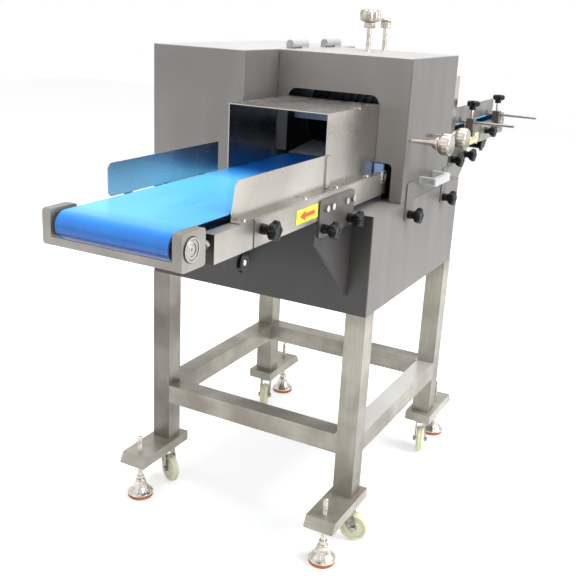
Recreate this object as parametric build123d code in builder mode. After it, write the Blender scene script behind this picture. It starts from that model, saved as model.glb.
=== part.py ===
from build123d import *
import math
import os

os.makedirs("parts", exist_ok=True)

# Conveyor strip cutter on a wheeled stand. Millimetres, Z up, floor at z = 0.
# Y runs along the two conveyors: the outfeed belt points to -Y, the infeed belt to +Y.
# +X is the operator's side. Pieces are drawn about the middle of the four legs, and finish()
# moves them so that the exported origin is on the floor in the middle of the overall size.

# Stand
stand_depth = 606
leg_size = 50
leg_wall = 2.5
stretcher_size = 50
stretcher_height = 241
foot_rail_width = 76
foot_rail_height = 26
foot_rail_wall = 3
foot_rail_reach_out = 155
foot_rail_reach_in = 45
foot_rail_slant = 14

# Levelling feet
foot_stud_radius = 6
foot_stud_proud = 44
foot_from_leg = 118
foot_pad_radius = 34
foot_pad_height = 9
foot_bell_height = 42
foot_nut_across = 19
foot_nut_height = 9
bell_rim_height = 4
bell_neck_radius = 14
bell_shoulder = 6
bell_top_radius = 11
bell_sweep = 60
thread_fit = 0.06

# Casters
caster_from_leg = 2
caster_trail = 28
wheel_radius = 37.5
wheel_width = 22
wheel_floor_gap = 3
wheel_head_room = 26
caster_plate_size = 62
caster_plate_thickness = 3
kingpin_radius = 5
axle_radius = 4
fork_sheet = 3
fork_gap = 2
crown_radius = 24
crown_height = 12
cheek_half = 20
cheek_round = 6
axle_head_radius = 7
axle_head = 5
tread_chamfer = 5
tread_groove = 1.6
hub_radius = 14
hub_recess = 3
hub_recess_slope = 2
tread_inner_radius = 29
bearing_fit = 0.06

# Housing
housing_wall = 3
sheet_bend = 4
top_bend = 2.5
base_bottom = 602
base_height = 234
tower_width = 252
tower_to_rail = 5
rail_to_side = 51
tower_height = 330
side_step = 0.3
seam_gap = 0.8
hood_front = -141
hood_back = 184
hood_seam = 1.5
arch_inset = 24
arch_rise = 175
arch_radius = 22
notch_outset = 20
notch_rise = 23
notch_radius = 12
door_margin = 26
door_thickness = 2.5
shaft_hole_gap = 3
vent_length = 70
vent_width = 6
vent_pitch = 14
base_vent_rise = 70
base_vent_rows = 7
door_vent_rise = 60
door_vent_rows = 6
door_lap = 12
door_corner = 8

# Hinge of the hood
barrel_radius = 10.2
barrel_length = 84
barrel_lift = 10.5
barrel_starts = (-90, 100)
hinge_pin_radius = 4
hinge_leaf = 5

# Conveyors
belt_side_gap = 27
conveyor_step = 38
rail_clearance = 17
rail_height = 51
rail_sheet = 3
rail_flange = 25
belt_width = 232
belt_thickness = 1.9
belt_fit = 0.1
roller_radius = 23.5
roller_rise = 41
roller_shaft_radius = 8
drive_reach = 24
nose_cap_radius = 22
inner_cap_radius = 17
cap_thickness = 2.5
cap_groove = 1
cap_bore_gap = 1.5
outfeed_drive_inset = 1
outfeed_reach = 624
outfeed_split_reach = 428.5
infeed_drive_inset = 3
infeed_reach = 586
infeed_split_reach = 338
split_gap = 5
splice_reach = 50
rail_inner_reach = 20
take_up_radius = 5
take_up_inset = 12
take_up_drop = 6
take_up_tail = 20
take_up_nut_across = 17
take_up_nut = 8
yoke_length = 66
yoke_overhang = 26
yoke_height = 64
yoke_thickness = 18.5
yoke_round = 7
yoke_drop = 3
yoke_gap = 25
cross_plate_height = 16
cross_plate_thickness = 3.5
bed_thickness = 3
bed_bar = 16
bed_bar_places = (0.12, 0.5, 0.88)
bed_inset = 4
bed_roller_gap = 40
bed_split_gap = 12
running_gap = 0.3

# Guards and guides over the belts
guard_sheet = 2
guard_rise = 156
outfeed_guard_reach = 105
infeed_guard_reach = 152
guard_end_gap = 1.5
end_block_reach = 9
guard_left_gap = 59
guard_stand_off = 1.5
slot_length = 38
slot_width = 8
slot_angle = 53
slot_pitch = 41
slot_rows = (41, 121, 201)
slots_per_row = 6
guide_rise = 72
right_guide_from_nose = 149
right_guide_lean = 15
guide_overlap = 16
left_guide_from_nose = 115
left_guide_from_guard = 42
left_guide_gap = 1.2
left_guide_proud = 6
guide_corner = 8
guide_strip = 20
guide_foot_width = 24
guide_foot_inset = 60
guide_foot_height = 30
slide_guide_from_guard = 3
slide_guide_from_nose = 23
slide_guide_height = 48
slide_guide_inset = 3
guide_rod_radius = 4
front_rod_inset = 62
rear_rod_inset = 66
guide_rod_length = 160
clamp_width = 24
clamp_top_rise = 32

# Hangers, knobs and screws
hanger_thickness = 4
hanger_corner = 9
hanger_top_inset = 9
hanger_near = 6
hanger_far = 175
hanger_drop = 37
hanger_bolt_rise = 22
hanger_bolt_places = (146, 119, 50, 16)
hanger_knob_places = (155, 32)
hanger_knob_drop = 19
infeed_hanger_shift = 29
gusset_thickness = 6
gusset_gap = 3
gusset_slot_length = 36
gusset_slot_play = 1.5
gusset_slot_drop = 4
gusset_reach = 185
gusset_foot_rise = 43
gusset_tip_drop = 45
outfeed_nose_knob_shift = -26.5
infeed_nose_knob_shift = 62
nose_knob_drop = 11
knob_radius = 20
knob_head = 15
knob_neck = 20
knob_neck_radius = 11
knob_lobes = 5
knob_scallop = 9
knob_scallop_depth = 4
knob_chamfer = 1.5
tee_stud_rise = 25
tee_neck = 11
stud_radius = 4
press_stud_radius = 6
press_collar_radius = 16.5
press_collar_height = 15
press_head_radius = 26
press_head_height = 30
press_stud_length = 56
press_rim_share = 0.2
press_rim_slope = 40
press_boss_radius = 14
press_boss_depth = 9
top_screw_offset = -6
top_screw_places = (62, 168)
side_screw_rise = 148
side_screw_places = (-120, 0)
rear_head_radius = 15
rear_head_height = 9
lug_height = 92
lug_rise = 46
lug_thickness = 3
lug_corner = 9
front_lug_width = 48
rear_lug_width = 38
front_lug_inset = 27
front_latch_inset = 49
rear_latch_inset = 20
latch_drop = 32
hex_across = 13
screw_radius = 5
screw_head = 2.5
flange_screw_places = (72, 234)
hex_head = 5.5
arrow_plate_length = 92
arrow_plate_height = 28
arrow_plate_thickness = 0.8
arrow_thickness = 0.3
outfeed_arrow_reach = 225
outfeed_arrow_rise = 24
infeed_arrow_reach = 276
infeed_arrow_rise = 18
scraper_from_split = 36
scraper_drop = 18
scraper_sole = 8
scraper_sole_length = 40
scraper_length = 62
scraper_thickness = 15
scraper_strip = 4
scraper_cap = 3
scraper_cap_radius = 14

# Handle
handle_start = -33
handle_length = 108
handle_reach = 45
handle_height = 19
handle_rise = 31.5
handle_bar = 11
handle_leg = 9
handle_pocket = 4

# Cutter
cassette_plate = 8
cassette_side_gap = 13
cassette_gap = 7
cassette_low_front_gap = 33
cassette_low_back_gap = 38
cassette_head_room = 80
knife_shaft_y = 10
knife_shaft_rise = 115
knife_shaft_radius = 15
knife_shaft_reach = 60
knife_radius = 75
knife_thickness = 1.5
knife_bevel = 6
knife_edge = 0.1
knife_count = 11
knife_pitch = 20
spacer_radius = 24
feed_roller_y = 120
feed_roller_rise = 114
feed_roller_radius = 28
feed_roller_teeth = 14
comb_bar = 12
comb_bar_height = 16
comb_finger = 8
comb_gap = 6
cassette_tie = 18
cassette_tie_height = 12
cassette_arch_rise = 28
bed_slot = 4
bed_slot_reach = 48
bed_edge = 6.5
feed_groove_radius = 3

# Places worked out from the sizes above
conveyor_half_width = belt_width / 2 + belt_side_gap
arch_half_width = conveyor_half_width - arch_inset
notch_half_width = conveyor_half_width + notch_outset
cassette_half_inner = belt_width / 2 + cassette_side_gap
stand_width = tower_width + tower_to_rail + 2 * conveyor_half_width + rail_to_side
right = stand_width / 2
left = -stand_width / 2
front = -stand_depth / 2
back = stand_depth / 2
base_top = base_bottom + base_height
machine_top = base_top + tower_height
tower_right = left + tower_width
hood_left = tower_right + hood_seam
leg_x = right - leg_size / 2
leg_y = back - leg_size / 2
rail_right = right - rail_to_side
conveyor_middle = rail_right - conveyor_half_width
top_screw_x = conveyor_middle + top_screw_offset
rail_left = conveyor_middle - conveyor_half_width
rail_bottom = base_top + rail_clearance
rail_top = rail_bottom + rail_height
roller_height = rail_bottom + roller_rise
outfeed_roller_inner = hood_front + outfeed_drive_inset
outfeed_roller_outer = front - outfeed_reach
infeed_roller_inner = hood_back - infeed_drive_inset
infeed_roller_outer = back + infeed_reach
arch_top = rail_top + arch_rise
notch_top = rail_top + notch_rise
guard_top = rail_top + guard_rise
guide_top = rail_top + guide_rise
lug_top = base_top + lug_rise
lug_spans = ((hood_front + front_lug_inset, hood_front + front_lug_inset + front_lug_width),
             (hood_back - rear_lug_width, hood_back))
latch_places = (hood_front + front_latch_inset, hood_back - rear_latch_inset)
latch_height = base_top - latch_drop
handle_bottom = base_top + handle_rise
side_screw_height = base_top + side_screw_rise
cassette_top = machine_top - cassette_head_room
knife_shaft_z = roller_height + knife_shaft_rise
feed_roller_z = roller_height + feed_roller_rise
belt_inner_radius = roller_radius + belt_fit
belt_outer_radius = belt_inner_radius + belt_thickness
belt_top = roller_height + belt_outer_radius
hinge_z = machine_top + barrel_lift
wheel_z = wheel_radius + wheel_floor_gap
foot_rail_bottom = 2 * wheel_radius + wheel_floor_gap + wheel_head_room
leg_foot_height = foot_rail_bottom + foot_rail_height
foot_rail_outer = leg_y + foot_rail_reach_out
foot_rail_inner = leg_y - foot_rail_reach_in
foot_from_middle = leg_y + foot_from_leg
foot_stud_top = leg_foot_height + foot_stud_proud
caster_from_middle = leg_y + caster_from_leg
guard_right = rail_right - rail_flange + guard_stand_off
guard_left = 2 * conveyor_middle - guard_right
reach_left = -leg_x - foot_rail_width / 2
reach_right = right + press_stud_length + press_collar_height + press_head_height
reach_front = outfeed_roller_outer - yoke_overhang
reach_back = infeed_roller_outer + yoke_overhang
to_origin = Location((-(reach_left + reach_right) / 2, -(reach_front + reach_back) / 2, 0))


def finish(builder, label):
    name = builder.part.moved(to_origin)
    name.label = label
    export_step(name, "parts/" + label + ".step")


def block(x0, x1, y0, y1, z0, z1, mode=Mode.ADD):
    with Locations(((x0 + x1) / 2, (y0 + y1) / 2, (z0 + z1) / 2)):
        Box(x1 - x0, y1 - y0, z1 - z0, mode=mode)


def rod_x(x0, x1, y, z, radius, mode=Mode.ADD):
    with Locations(Location(((x0 + x1) / 2, y, z), (0, 90, 0))):
        Cylinder(radius, x1 - x0, mode=mode)


def rod_y(y0, y1, x, z, radius, mode=Mode.ADD):
    with Locations(Location((x, (y0 + y1) / 2, z), (90, 0, 0))):
        Cylinder(radius, y1 - y0, mode=mode)


def rod_z(z0, z1, x, y, radius, mode=Mode.ADD):
    with Locations((x, y, (z0 + z1) / 2)):
        Cylinder(radius, z1 - z0, mode=mode)


def across_x(points, x0, x1, mode=Mode.ADD):
    """A flat outline given as (y, z) points, made x0 to x1 thick."""
    with BuildSketch(Plane.YZ.offset(x0)) as outline:
        with BuildLine():
            Polyline(*points, close=True)
        make_face()
    extrude(outline.sketch, amount=x1 - x0, mode=mode)


def across_y(points, y0, y1, mode=Mode.ADD):
    """A flat outline given as (x, z) points, made y0 to y1 thick."""
    with BuildSketch(Plane((0, y1, 0), x_dir=(1, 0, 0), z_dir=(0, -1, 0))) as outline:
        with BuildLine():
            Polyline(*points, close=True)
        make_face()
    extrude(outline.sketch, amount=y1 - y0, mode=mode)


# Stand: four legs, four stretchers and four foot rails, all closed tubes
with BuildPart() as legs:
    leg_length = base_bottom - leg_foot_height
    with Locations((0, 0, leg_foot_height + leg_length / 2)):
        with GridLocations(2 * leg_x, 2 * leg_y, 2, 2):
            Box(leg_size, leg_size, leg_length)
            Box(leg_size - 2 * leg_wall, leg_size - 2 * leg_wall, leg_length, mode=Mode.SUBTRACT)
finish(legs, "stand_legs")

with BuildPart() as stretchers:
    stretcher_middle = stretcher_height + stretcher_size / 2
    stretcher_bore = stretcher_size - 2 * leg_wall
    with Locations((0, 0, stretcher_middle)):
        with GridLocations(0, 2 * leg_y, 1, 2):
            Box(2 * leg_x - leg_size, stretcher_size, stretcher_size)
            Box(2 * leg_x - leg_size, stretcher_bore, stretcher_bore, mode=Mode.SUBTRACT)
        with GridLocations(2 * leg_x, 0, 2, 1):
            Box(stretcher_size, 2 * leg_y - leg_size, stretcher_size)
            Box(stretcher_bore, 2 * leg_y - leg_size, stretcher_bore, mode=Mode.SUBTRACT)
finish(stretchers, "stand_stretchers")


def foot_rail(side, end):
    """A flat closed tube with a slanted outer end and a clear hole for the foot's stud."""
    x0 = side * leg_x - foot_rail_width / 2
    x1 = side * leg_x + foot_rail_width / 2
    top = leg_foot_height
    wall = foot_rail_wall
    outer = foot_rail_outer
    slant = foot_rail_slant
    outside = [(foot_rail_inner, foot_rail_bottom), (outer, foot_rail_bottom),
               (outer - slant, top), (foot_rail_inner, top)]
    inside = [(foot_rail_inner + wall, foot_rail_bottom + wall), (outer - 2 * wall, foot_rail_bottom + wall),
              (outer - 2 * wall - slant, top - wall), (foot_rail_inner + wall, top - wall)]
    across_x([(end * y, z) for y, z in outside], x0, x1)
    across_x([(end * y, z) for y, z in inside], x0 + wall, x1 - wall, mode=Mode.SUBTRACT)
    rod_z(foot_rail_bottom - 1, top + 1, side * leg_x, end * foot_from_middle,
          foot_stud_radius + thread_fit, mode=Mode.SUBTRACT)


with BuildPart() as foot_rails:
    for side in (-1, 1):
        for end in (-1, 1):
            foot_rail(side, end)
finish(foot_rails, "foot_rails")

corners = {"front_left": (-1, -1), "front_right": (1, -1), "rear_left": (-1, 1), "rear_right": (1, 1)}


def levelling_foot(label, side, end):
    """A threaded stud with a hexagon, a fluted bell and a round pad below it."""
    x = side * leg_x
    y = end * foot_from_middle
    with BuildPart(Plane((x, y, 0))) as foot:
        Cylinder(foot_pad_radius - 1, foot_pad_height,
                 align=(Align.CENTER, Align.CENTER, Align.MIN))
        with BuildSketch(Plane((x, y, 0), x_dir=(1, 0, 0), z_dir=(0, -1, 0))):
            with BuildLine():
                bell_base = foot_pad_height
                bell_top = foot_pad_height + foot_bell_height
                Line((0, bell_base), (foot_pad_radius, bell_base))
                Line((foot_pad_radius, bell_base), (foot_pad_radius, bell_base + bell_rim_height))
                RadiusArc((foot_pad_radius, bell_base + bell_rim_height),
                          (bell_neck_radius, bell_top - bell_shoulder), bell_sweep)
                Line((bell_neck_radius, bell_top - bell_shoulder), (bell_top_radius, bell_top))
                Line((bell_top_radius, bell_top), (0, bell_top))
                Line((0, bell_top), (0, bell_base))
            make_face()
        revolve(axis=Axis((x, y, 0), (0, 0, 1)))
        with BuildSketch(Plane((x, y, bell_top))):
            RegularPolygon(foot_nut_across / math.sqrt(3), 6)
        extrude(amount=foot_nut_height)
        with BuildSketch(Plane((x, y, bell_top + foot_nut_height))):
            Circle(foot_stud_radius)
        extrude(amount=foot_stud_top - bell_top - foot_nut_height)
    finish(foot, "levelling_foot_" + label)


for label, (side, end) in corners.items():
    levelling_foot(label, side, end)

# Casters: a plate with its kingpin, a swivelling fork and a grooved wheel
trail_directions = {"front_left": -29, "front_right": 11, "rear_left": -70, "rear_right": -72}
plate_top = foot_rail_bottom
crown_top = plate_top - caster_plate_thickness - running_gap
kingpin_bottom = crown_top - crown_height + 2

with BuildPart() as caster_plates:
    with Locations((0, 0, plate_top - caster_plate_thickness / 2)):
        with GridLocations(2 * leg_x, 2 * caster_from_middle, 2, 2):
            Box(caster_plate_size, caster_plate_size, caster_plate_thickness)
    with Locations((0, 0, (plate_top - 1 + kingpin_bottom) / 2)):
        with GridLocations(2 * leg_x, 2 * caster_from_middle, 2, 2):
            Cylinder(kingpin_radius, plate_top - 1 - kingpin_bottom)
finish(caster_plates, "caster_plates")


def caster_plane(label, height):
    side, end = corners[label]
    angle = math.radians(trail_directions[label])
    return Plane((side * leg_x, end * caster_from_middle, height),
                 x_dir=(math.cos(angle), math.sin(angle), 0), z_dir=(0, 0, 1))


def caster_fork(label):
    """Crown, two cheeks that lean back to the axle, and the axle bolt."""
    cheek = wheel_width / 2 + fork_gap
    drop = crown_top - wheel_z
    with BuildPart(caster_plane(label, 0)) as fork:
        with Locations((0, 0, crown_top - crown_height / 2)):
            Cylinder(crown_radius, crown_height)
            Cylinder(kingpin_radius + bearing_fit, crown_height, mode=Mode.SUBTRACT)
        plane = caster_plane(label, 0)
        origin = plane.origin + plane.y_dir * (cheek + fork_sheet)
        with BuildSketch(Plane(origin, x_dir=plane.x_dir, z_dir=-plane.y_dir)) as cheek_face:
            with BuildLine():
                Polyline((-cheek_half, wheel_z + drop - 2), (cheek_half, wheel_z + drop - 2),
                         (caster_trail + axle_head_radius + 2, wheel_z),
                         (caster_trail, wheel_z - axle_head_radius - 3),
                         (caster_trail - axle_head_radius - 4, wheel_z - 4), close=True)
            make_face()
            fillet(cheek_face.vertices().group_by(Axis.Y)[0], cheek_round)
        extrude(cheek_face.sketch, amount=fork_sheet)
        extrude(cheek_face.sketch.moved(Location(-plane.y_dir * (2 * cheek + fork_sheet))), amount=fork_sheet)
        bolt = 2 * (cheek + fork_sheet)
        with Locations(Location((caster_trail, 0, wheel_z), (90, 0, 0))):
            Cylinder(axle_radius, bolt + axle_head)
            with Locations((0, 0, (bolt + axle_head) / 2), (0, 0, -(bolt + axle_head) / 2)):
                Cylinder(axle_head_radius, axle_head)
    finish(fork, "caster_fork_" + label)


def caster_wheel(label):
    """A nylon wheel with bevelled tread edges, a groove round its tread and a recess beside its hub."""
    plane = caster_plane(label, wheel_z)
    centre = plane.origin + plane.x_dir * caster_trail
    half = wheel_width / 2
    deep = half - hub_recess
    shoulder = half - tread_chamfer
    groove = tread_groove
    with BuildPart() as wheel:
        with BuildSketch(Plane(centre, x_dir=(0, 0, 1), z_dir=plane.x_dir)):
            with BuildLine():
                bore = axle_radius + bearing_fit
                web_in = hub_radius + hub_recess_slope
                web_out = tread_inner_radius - hub_recess_slope
                Polyline((bore, -half), (hub_radius, -half), (web_in, -deep), (web_out, -deep),
                         (tread_inner_radius, -half), (wheel_radius - tread_chamfer, -half),
                         (wheel_radius, -shoulder), (wheel_radius, -groove), (wheel_radius - groove, 0),
                         (wheel_radius, groove), (wheel_radius, shoulder), (wheel_radius - tread_chamfer, half),
                         (tread_inner_radius, half), (web_out, deep), (web_in, deep), (hub_radius, half),
                         (bore, half), close=True)
            make_face()
        revolve(axis=Axis(centre, plane.y_dir))
    finish(wheel, "caster_wheel_" + label)


for label in corners:
    caster_fork(label)
    caster_wheel(label)


# Base box: a folded sheet box with a flat deck, vents in its back and the four conveyor gussets
def gusset(x0, y_sign, lift, shift):
    """A triangular bracket below a rail, with an upright slot for each hanger knob."""
    face = stand_depth / 2
    tip = face + gusset_reach + shift
    under_rail = rail_bottom + lift - gusset_gap
    foot = base_bottom + gusset_foot_rise + lift
    across_x([(y_sign * face, foot), (y_sign * face, base_top), (y_sign * (face + gusset_gap), base_top),
              (y_sign * (face + rail_clearance), under_rail), (y_sign * tip, under_rail),
              (y_sign * tip, rail_bottom - gusset_tip_drop + lift)], x0, x0 + gusset_thickness)
    slot_middle = rail_bottom - hanger_knob_drop - gusset_slot_drop + lift
    for place in hanger_knob_places:
        with BuildSketch(Plane.YZ.offset(x0)) as slot:
            with Locations((y_sign * (face + place + shift), slot_middle)):
                SlotOverall(gusset_slot_length, 2 * stud_radius + gusset_slot_play, rotation=90)
        extrude(slot.sketch, amount=gusset_thickness, mode=Mode.SUBTRACT)


def vents(y0, y1, x_middle, z_low, count):
    for row in range(count):
        with BuildSketch(Plane((0, y1, 0), x_dir=(1, 0, 0), z_dir=(0, -1, 0))) as vent:
            with Locations((x_middle, z_low + row * vent_pitch)):
                SlotOverall(vent_length, vent_width)
        extrude(vent.sketch, amount=y1 - y0, mode=Mode.SUBTRACT)


with BuildPart() as base:
    block(left, right - side_step, front, back, base_bottom, base_top)
    fillet(base.edges().filter_by(Axis.Z), sheet_bend)
    block(left + housing_wall, right - side_step - housing_wall, front + housing_wall, back - housing_wall,
          base_bottom + housing_wall, base_top - housing_wall, mode=Mode.SUBTRACT)
    vents(back - 2 * housing_wall, back + 1, left / 2, base_bottom + base_vent_rise, base_vent_rows)
    for x0 in (rail_right - gusset_thickness, rail_left):
        gusset(x0, -1, 0, 0)
        gusset(x0, 1, conveyor_step, infeed_hanger_shift)
finish(base, "base_box")

# Drive tower: the tall closed housing on the left, with the fixed halves of the hood's hinges
with BuildPart() as tower:
    block(left, tower_right, front, back, base_top, machine_top)
    fillet(tower.edges().filter_by(Axis.Z), sheet_bend)
    fillet(tower.faces().sort_by(Axis.Z)[-1].edges(), top_bend)
    block(left + housing_wall, tower_right - housing_wall, front + housing_wall, back - housing_wall,
          base_top, machine_top - housing_wall, mode=Mode.SUBTRACT)
    for y, z, radius in ((knife_shaft_y, knife_shaft_z, knife_shaft_radius),
                         (feed_roller_y, feed_roller_z, roller_shaft_radius),
                         (outfeed_roller_inner, roller_height, roller_shaft_radius),
                         (infeed_roller_inner, roller_height + conveyor_step, roller_shaft_radius)):
        rod_x(tower_right - 2 * housing_wall, tower_right + 1, y, z, radius + shaft_hole_gap, mode=Mode.SUBTRACT)
    inset = door_margin + door_lap
    block(left + inset, tower_right - inset, back - 2 * housing_wall, back + 1,
          base_top + inset, machine_top - inset, mode=Mode.SUBTRACT)
    for start in barrel_starts:
        rod_y(start, start + barrel_length / 2 - running_gap / 2, tower_right, hinge_z, barrel_radius)
        block(tower_right - barrel_radius, tower_right - 1, start, start + barrel_length / 2 - running_gap / 2,
              machine_top, machine_top + hinge_leaf)
        rod_y(start, start + barrel_length - 3, tower_right, hinge_z, hinge_pin_radius)
finish(tower, "drive_tower")

with BuildPart() as door:
    block(left + door_margin, tower_right - door_margin, back, back + door_thickness,
          base_top + door_margin, machine_top - door_margin)
    fillet(door.edges().filter_by(Axis.Y), door_corner)
    vents(back - 1, back + door_thickness + 1, (left + tower_right) / 2,
          base_top + door_vent_rise, door_vent_rows)
finish(door, "tower_door")


# Hood: front, back, right and top walls in one sheet shell, open below and towards the tower
def arch(y0, y1, lift):
    """The round-cornered opening over a belt, with its wider foot for the rails."""
    with BuildSketch(Plane((0, y1, 0), x_dir=(1, 0, 0), z_dir=(0, -1, 0))) as opening:
        with BuildLine():
            low = base_top - 5
            x0 = hood_left - 5
            x1 = conveyor_middle + arch_half_width
            x2 = conveyor_middle + notch_half_width
            step = notch_top + lift
            Polyline((x0, low), (x2, low), (x2, step), (x1, step), (x1, arch_top + lift),
                     (conveyor_middle - arch_half_width, arch_top + lift),
                     (conveyor_middle - arch_half_width, step), (x0, step), close=True)
        make_face()
        fillet(opening.vertices().group_by(Axis.Y)[-1], arch_radius)
        fillet(opening.vertices().group_by(Axis.X)[-1].sort_by(Axis.Y)[-1], notch_radius)
    extrude(opening.sketch, amount=y1 - y0, mode=Mode.SUBTRACT)


hood_bottom = base_top + seam_gap
with BuildPart() as hood:
    block(hood_left, right, hood_front, hood_back, hood_bottom, machine_top)
    fillet(hood.edges().filter_by(Axis.Z).group_by(Axis.X)[-1], sheet_bend)
    fillet(hood.faces().sort_by(Axis.Z)[-1].edges().sort_by(Axis.X)[1:], top_bend)
    block(hood_left - 1, right - housing_wall, hood_front + housing_wall, hood_back - housing_wall,
          hood_bottom - 1, machine_top - housing_wall, mode=Mode.SUBTRACT)
    arch(hood_front - 1, hood_front + housing_wall + 1, 0)
    arch(hood_back - housing_wall - 1, hood_back + 1, conveyor_step)
    for y0, y1 in lug_spans:
        with BuildSketch(Plane.YZ.offset(right)) as lug:
            with Locations(((y0 + y1) / 2, lug_top - lug_height / 2)):
                RectangleRounded(y1 - y0, lug_height, lug_corner)
        extrude(lug.sketch, amount=lug_thickness)
    for y in latch_places:
        rod_x(right, right + lug_thickness, y, latch_height, stud_radius + thread_fit, mode=Mode.SUBTRACT)
    for y in top_screw_places:
        rod_z(machine_top - housing_wall - press_boss_depth, machine_top - housing_wall, top_screw_x, y,
              press_boss_radius)
        rod_z(machine_top - 20, machine_top + 1, top_screw_x, y, press_stud_radius + thread_fit,
              mode=Mode.SUBTRACT)
    for y in side_screw_places:
        rod_x(right - housing_wall - press_boss_depth, right - housing_wall, y, side_screw_height,
              press_boss_radius)
        rod_x(right - 20, right + 1, y, side_screw_height, press_stud_radius + thread_fit, mode=Mode.SUBTRACT)
    for start in barrel_starts:
        half = start + barrel_length / 2 + running_gap / 2
        rod_y(half, start + barrel_length, tower_right, hinge_z, barrel_radius)
        block(hood_left, hood_left + barrel_radius, half, start + barrel_length,
              machine_top, machine_top + hinge_leaf)
        rod_y(half - 1, start + barrel_length - 2, tower_right, hinge_z, hinge_pin_radius + bearing_fit,
              mode=Mode.SUBTRACT)
finish(hood, "hood")

with BuildPart() as handle:
    y0 = handle_start
    y1 = handle_start + handle_length
    z1 = handle_bottom + handle_height
    block(right, right + handle_reach, y0, y1, handle_bottom, z1)
    fillet(handle.edges().filter_by(Axis.Z).group_by(Axis.X)[-1], 5)
    block(right - 1, right + handle_reach - handle_bar, y0 + handle_leg, y1 - handle_leg,
          handle_bottom - 1, z1 + 1, mode=Mode.SUBTRACT)
    for outer, inner in ((y0 - 1, y0 + handle_pocket), (y1 - handle_pocket, y1 + 1)):
        block(right + 10, right + handle_reach - 6, outer, inner, handle_bottom + 4, z1 - 4, mode=Mode.SUBTRACT)
finish(handle, "hood_handle")


# Knobs: black five-lobed clamp knobs and bright fluted press screws, each turned on its own plane
def lobed_outline(radius, lobes, scallop, depth):
    """A round knob outline with a scallop cut between each pair of lobes."""
    Circle(radius)
    with PolarLocations(radius + scallop - depth, lobes, start_angle=180 / lobes):
        Circle(scallop, mode=Mode.SUBTRACT)


def knob_head_on(seat):
    """The lobed head: a full middle between two slightly smaller faces."""
    with BuildSketch(seat) as faces:
        lobed_outline(knob_radius - knob_chamfer, knob_lobes, knob_scallop, knob_scallop_depth)
    extrude(faces.sketch, amount=knob_head)
    with BuildSketch(seat.offset(knob_chamfer)) as middle:
        lobed_outline(knob_radius, knob_lobes, knob_scallop, knob_scallop_depth)
    extrude(middle.sketch, amount=knob_head - 2 * knob_chamfer)


def clamp_knob(label, origin, direction, stud_reach):
    """A knob that stands off its seat by the running gap, with a stud that reaches back from it."""
    side = (0, 1, 0) if abs(direction[1]) < 0.5 else (1, 0, 0)
    plane = Plane(origin, x_dir=side, z_dir=direction)
    with BuildPart() as knob:
        with BuildSketch(plane.offset(running_gap)):
            Circle(knob_neck_radius)
        extrude(amount=knob_neck, taper=4)
        knob_head_on(plane.offset(running_gap + knob_neck - 1))
        with BuildSketch(plane.offset(running_gap + 1)):
            Circle(stud_radius)
        extrude(amount=-stud_reach - running_gap - 1)
    finish(knob, label)


def press_screw(label, origin, direction, reach, head_radius, head_height, lobes):
    """A long screw: stud, lock collar and a lobed head with a sloping rim."""
    side = (0, 1, 0) if abs(direction[1]) < 0.5 else (1, 0, 0)
    plane = Plane(origin, x_dir=side, z_dir=direction)
    top = press_stud_length + press_collar_height
    with BuildPart() as screw:
        with BuildSketch(plane.offset(-reach)):
            Circle(press_stud_radius)
        extrude(amount=reach + press_stud_length + 1)
        with BuildSketch(plane.offset(press_stud_length)):
            RegularPolygon(press_collar_radius, 8)
        extrude(amount=press_collar_height)
        rim = head_height * press_rim_share
        with BuildSketch(plane.offset(top)):
            lobed_outline(head_radius, lobes, head_radius / 3, head_radius / 8)
        extrude(amount=head_height - rim)
        with BuildSketch(plane.offset(top + head_height - rim)):
            lobed_outline(head_radius, lobes, head_radius / 3, head_radius / 8)
        extrude(amount=rim, taper=press_rim_slope)
    finish(screw, label)


head_sizes = ((press_head_radius, press_head_height, 7), (rear_head_radius, rear_head_height, 8))
for name, y, (radius, height, lobes) in zip(("front", "rear"), top_screw_places, head_sizes):
    press_screw("top_screw_" + name, (top_screw_x, y, machine_top), (0, 0, 1),
                cassette_head_room - running_gap, radius, height, lobes)
side_plate_face = conveyor_middle + cassette_half_inner + cassette_plate
for name, y in zip(("front", "rear"), side_screw_places):
    press_screw("side_screw_" + name, (right, y, side_screw_height), (1, 0, 0),
                right - side_plate_face - running_gap, press_head_radius, press_head_height, 7)
for name, y in zip(("front", "rear"), latch_places):
    clamp_knob("latch_knob_" + name, (right + lug_thickness, y, latch_height), (1, 0, 0),
               lug_thickness - running_gap / 2)


# Conveyors: one description used twice, the infeed one turned round and lifted by one step
class Conveyor:
    def __init__(self, sign, lift, inner, outer, split_reach, knob_shift, hanger_shift, guard_reach):
        self.sign = sign
        self.lift = lift
        self.inner = inner
        self.outer = outer
        self.face = sign * stand_depth / 2
        self.split = self.face + sign * split_reach
        self.knob_y = self.split + sign * knob_shift
        self.hanger_from = self.face + sign * hanger_shift
        self.guard_open = self.face + sign * guard_reach
        self.hood_wall = hood_front if sign < 0 else hood_back
        self.yoke_end = outer + sign * yoke_overhang
        self.yoke_start = self.yoke_end - sign * yoke_length
        self.rail_end = self.yoke_start - sign * yoke_gap
        self.axle_z = roller_height + lift
        self.low = rail_bottom + lift
        self.high = rail_top + lift


outfeed = Conveyor(-1, 0, outfeed_roller_inner, outfeed_roller_outer, outfeed_split_reach,
                   outfeed_nose_knob_shift, 0, outfeed_guard_reach)
infeed = Conveyor(1, conveyor_step, infeed_roller_inner, infeed_roller_outer, infeed_split_reach,
                  infeed_nose_knob_shift, infeed_hanger_shift, infeed_guard_reach)
conveyors = {"outfeed": outfeed, "infeed": infeed}


def channel(side, y0, y1, low, high):
    """A folded channel rail that is open towards the belt; side is +1 on the right."""
    face = conveyor_middle + side * conveyor_half_width
    web = face - side * rail_sheet
    lip = face - side * rail_flange
    across_y([(face, low), (face, high), (lip, high), (lip, high - rail_sheet), (web, high - rail_sheet),
              (web, low + rail_sheet), (lip, low + rail_sheet), (lip, low)], min(y0, y1), max(y0, y1))


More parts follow.
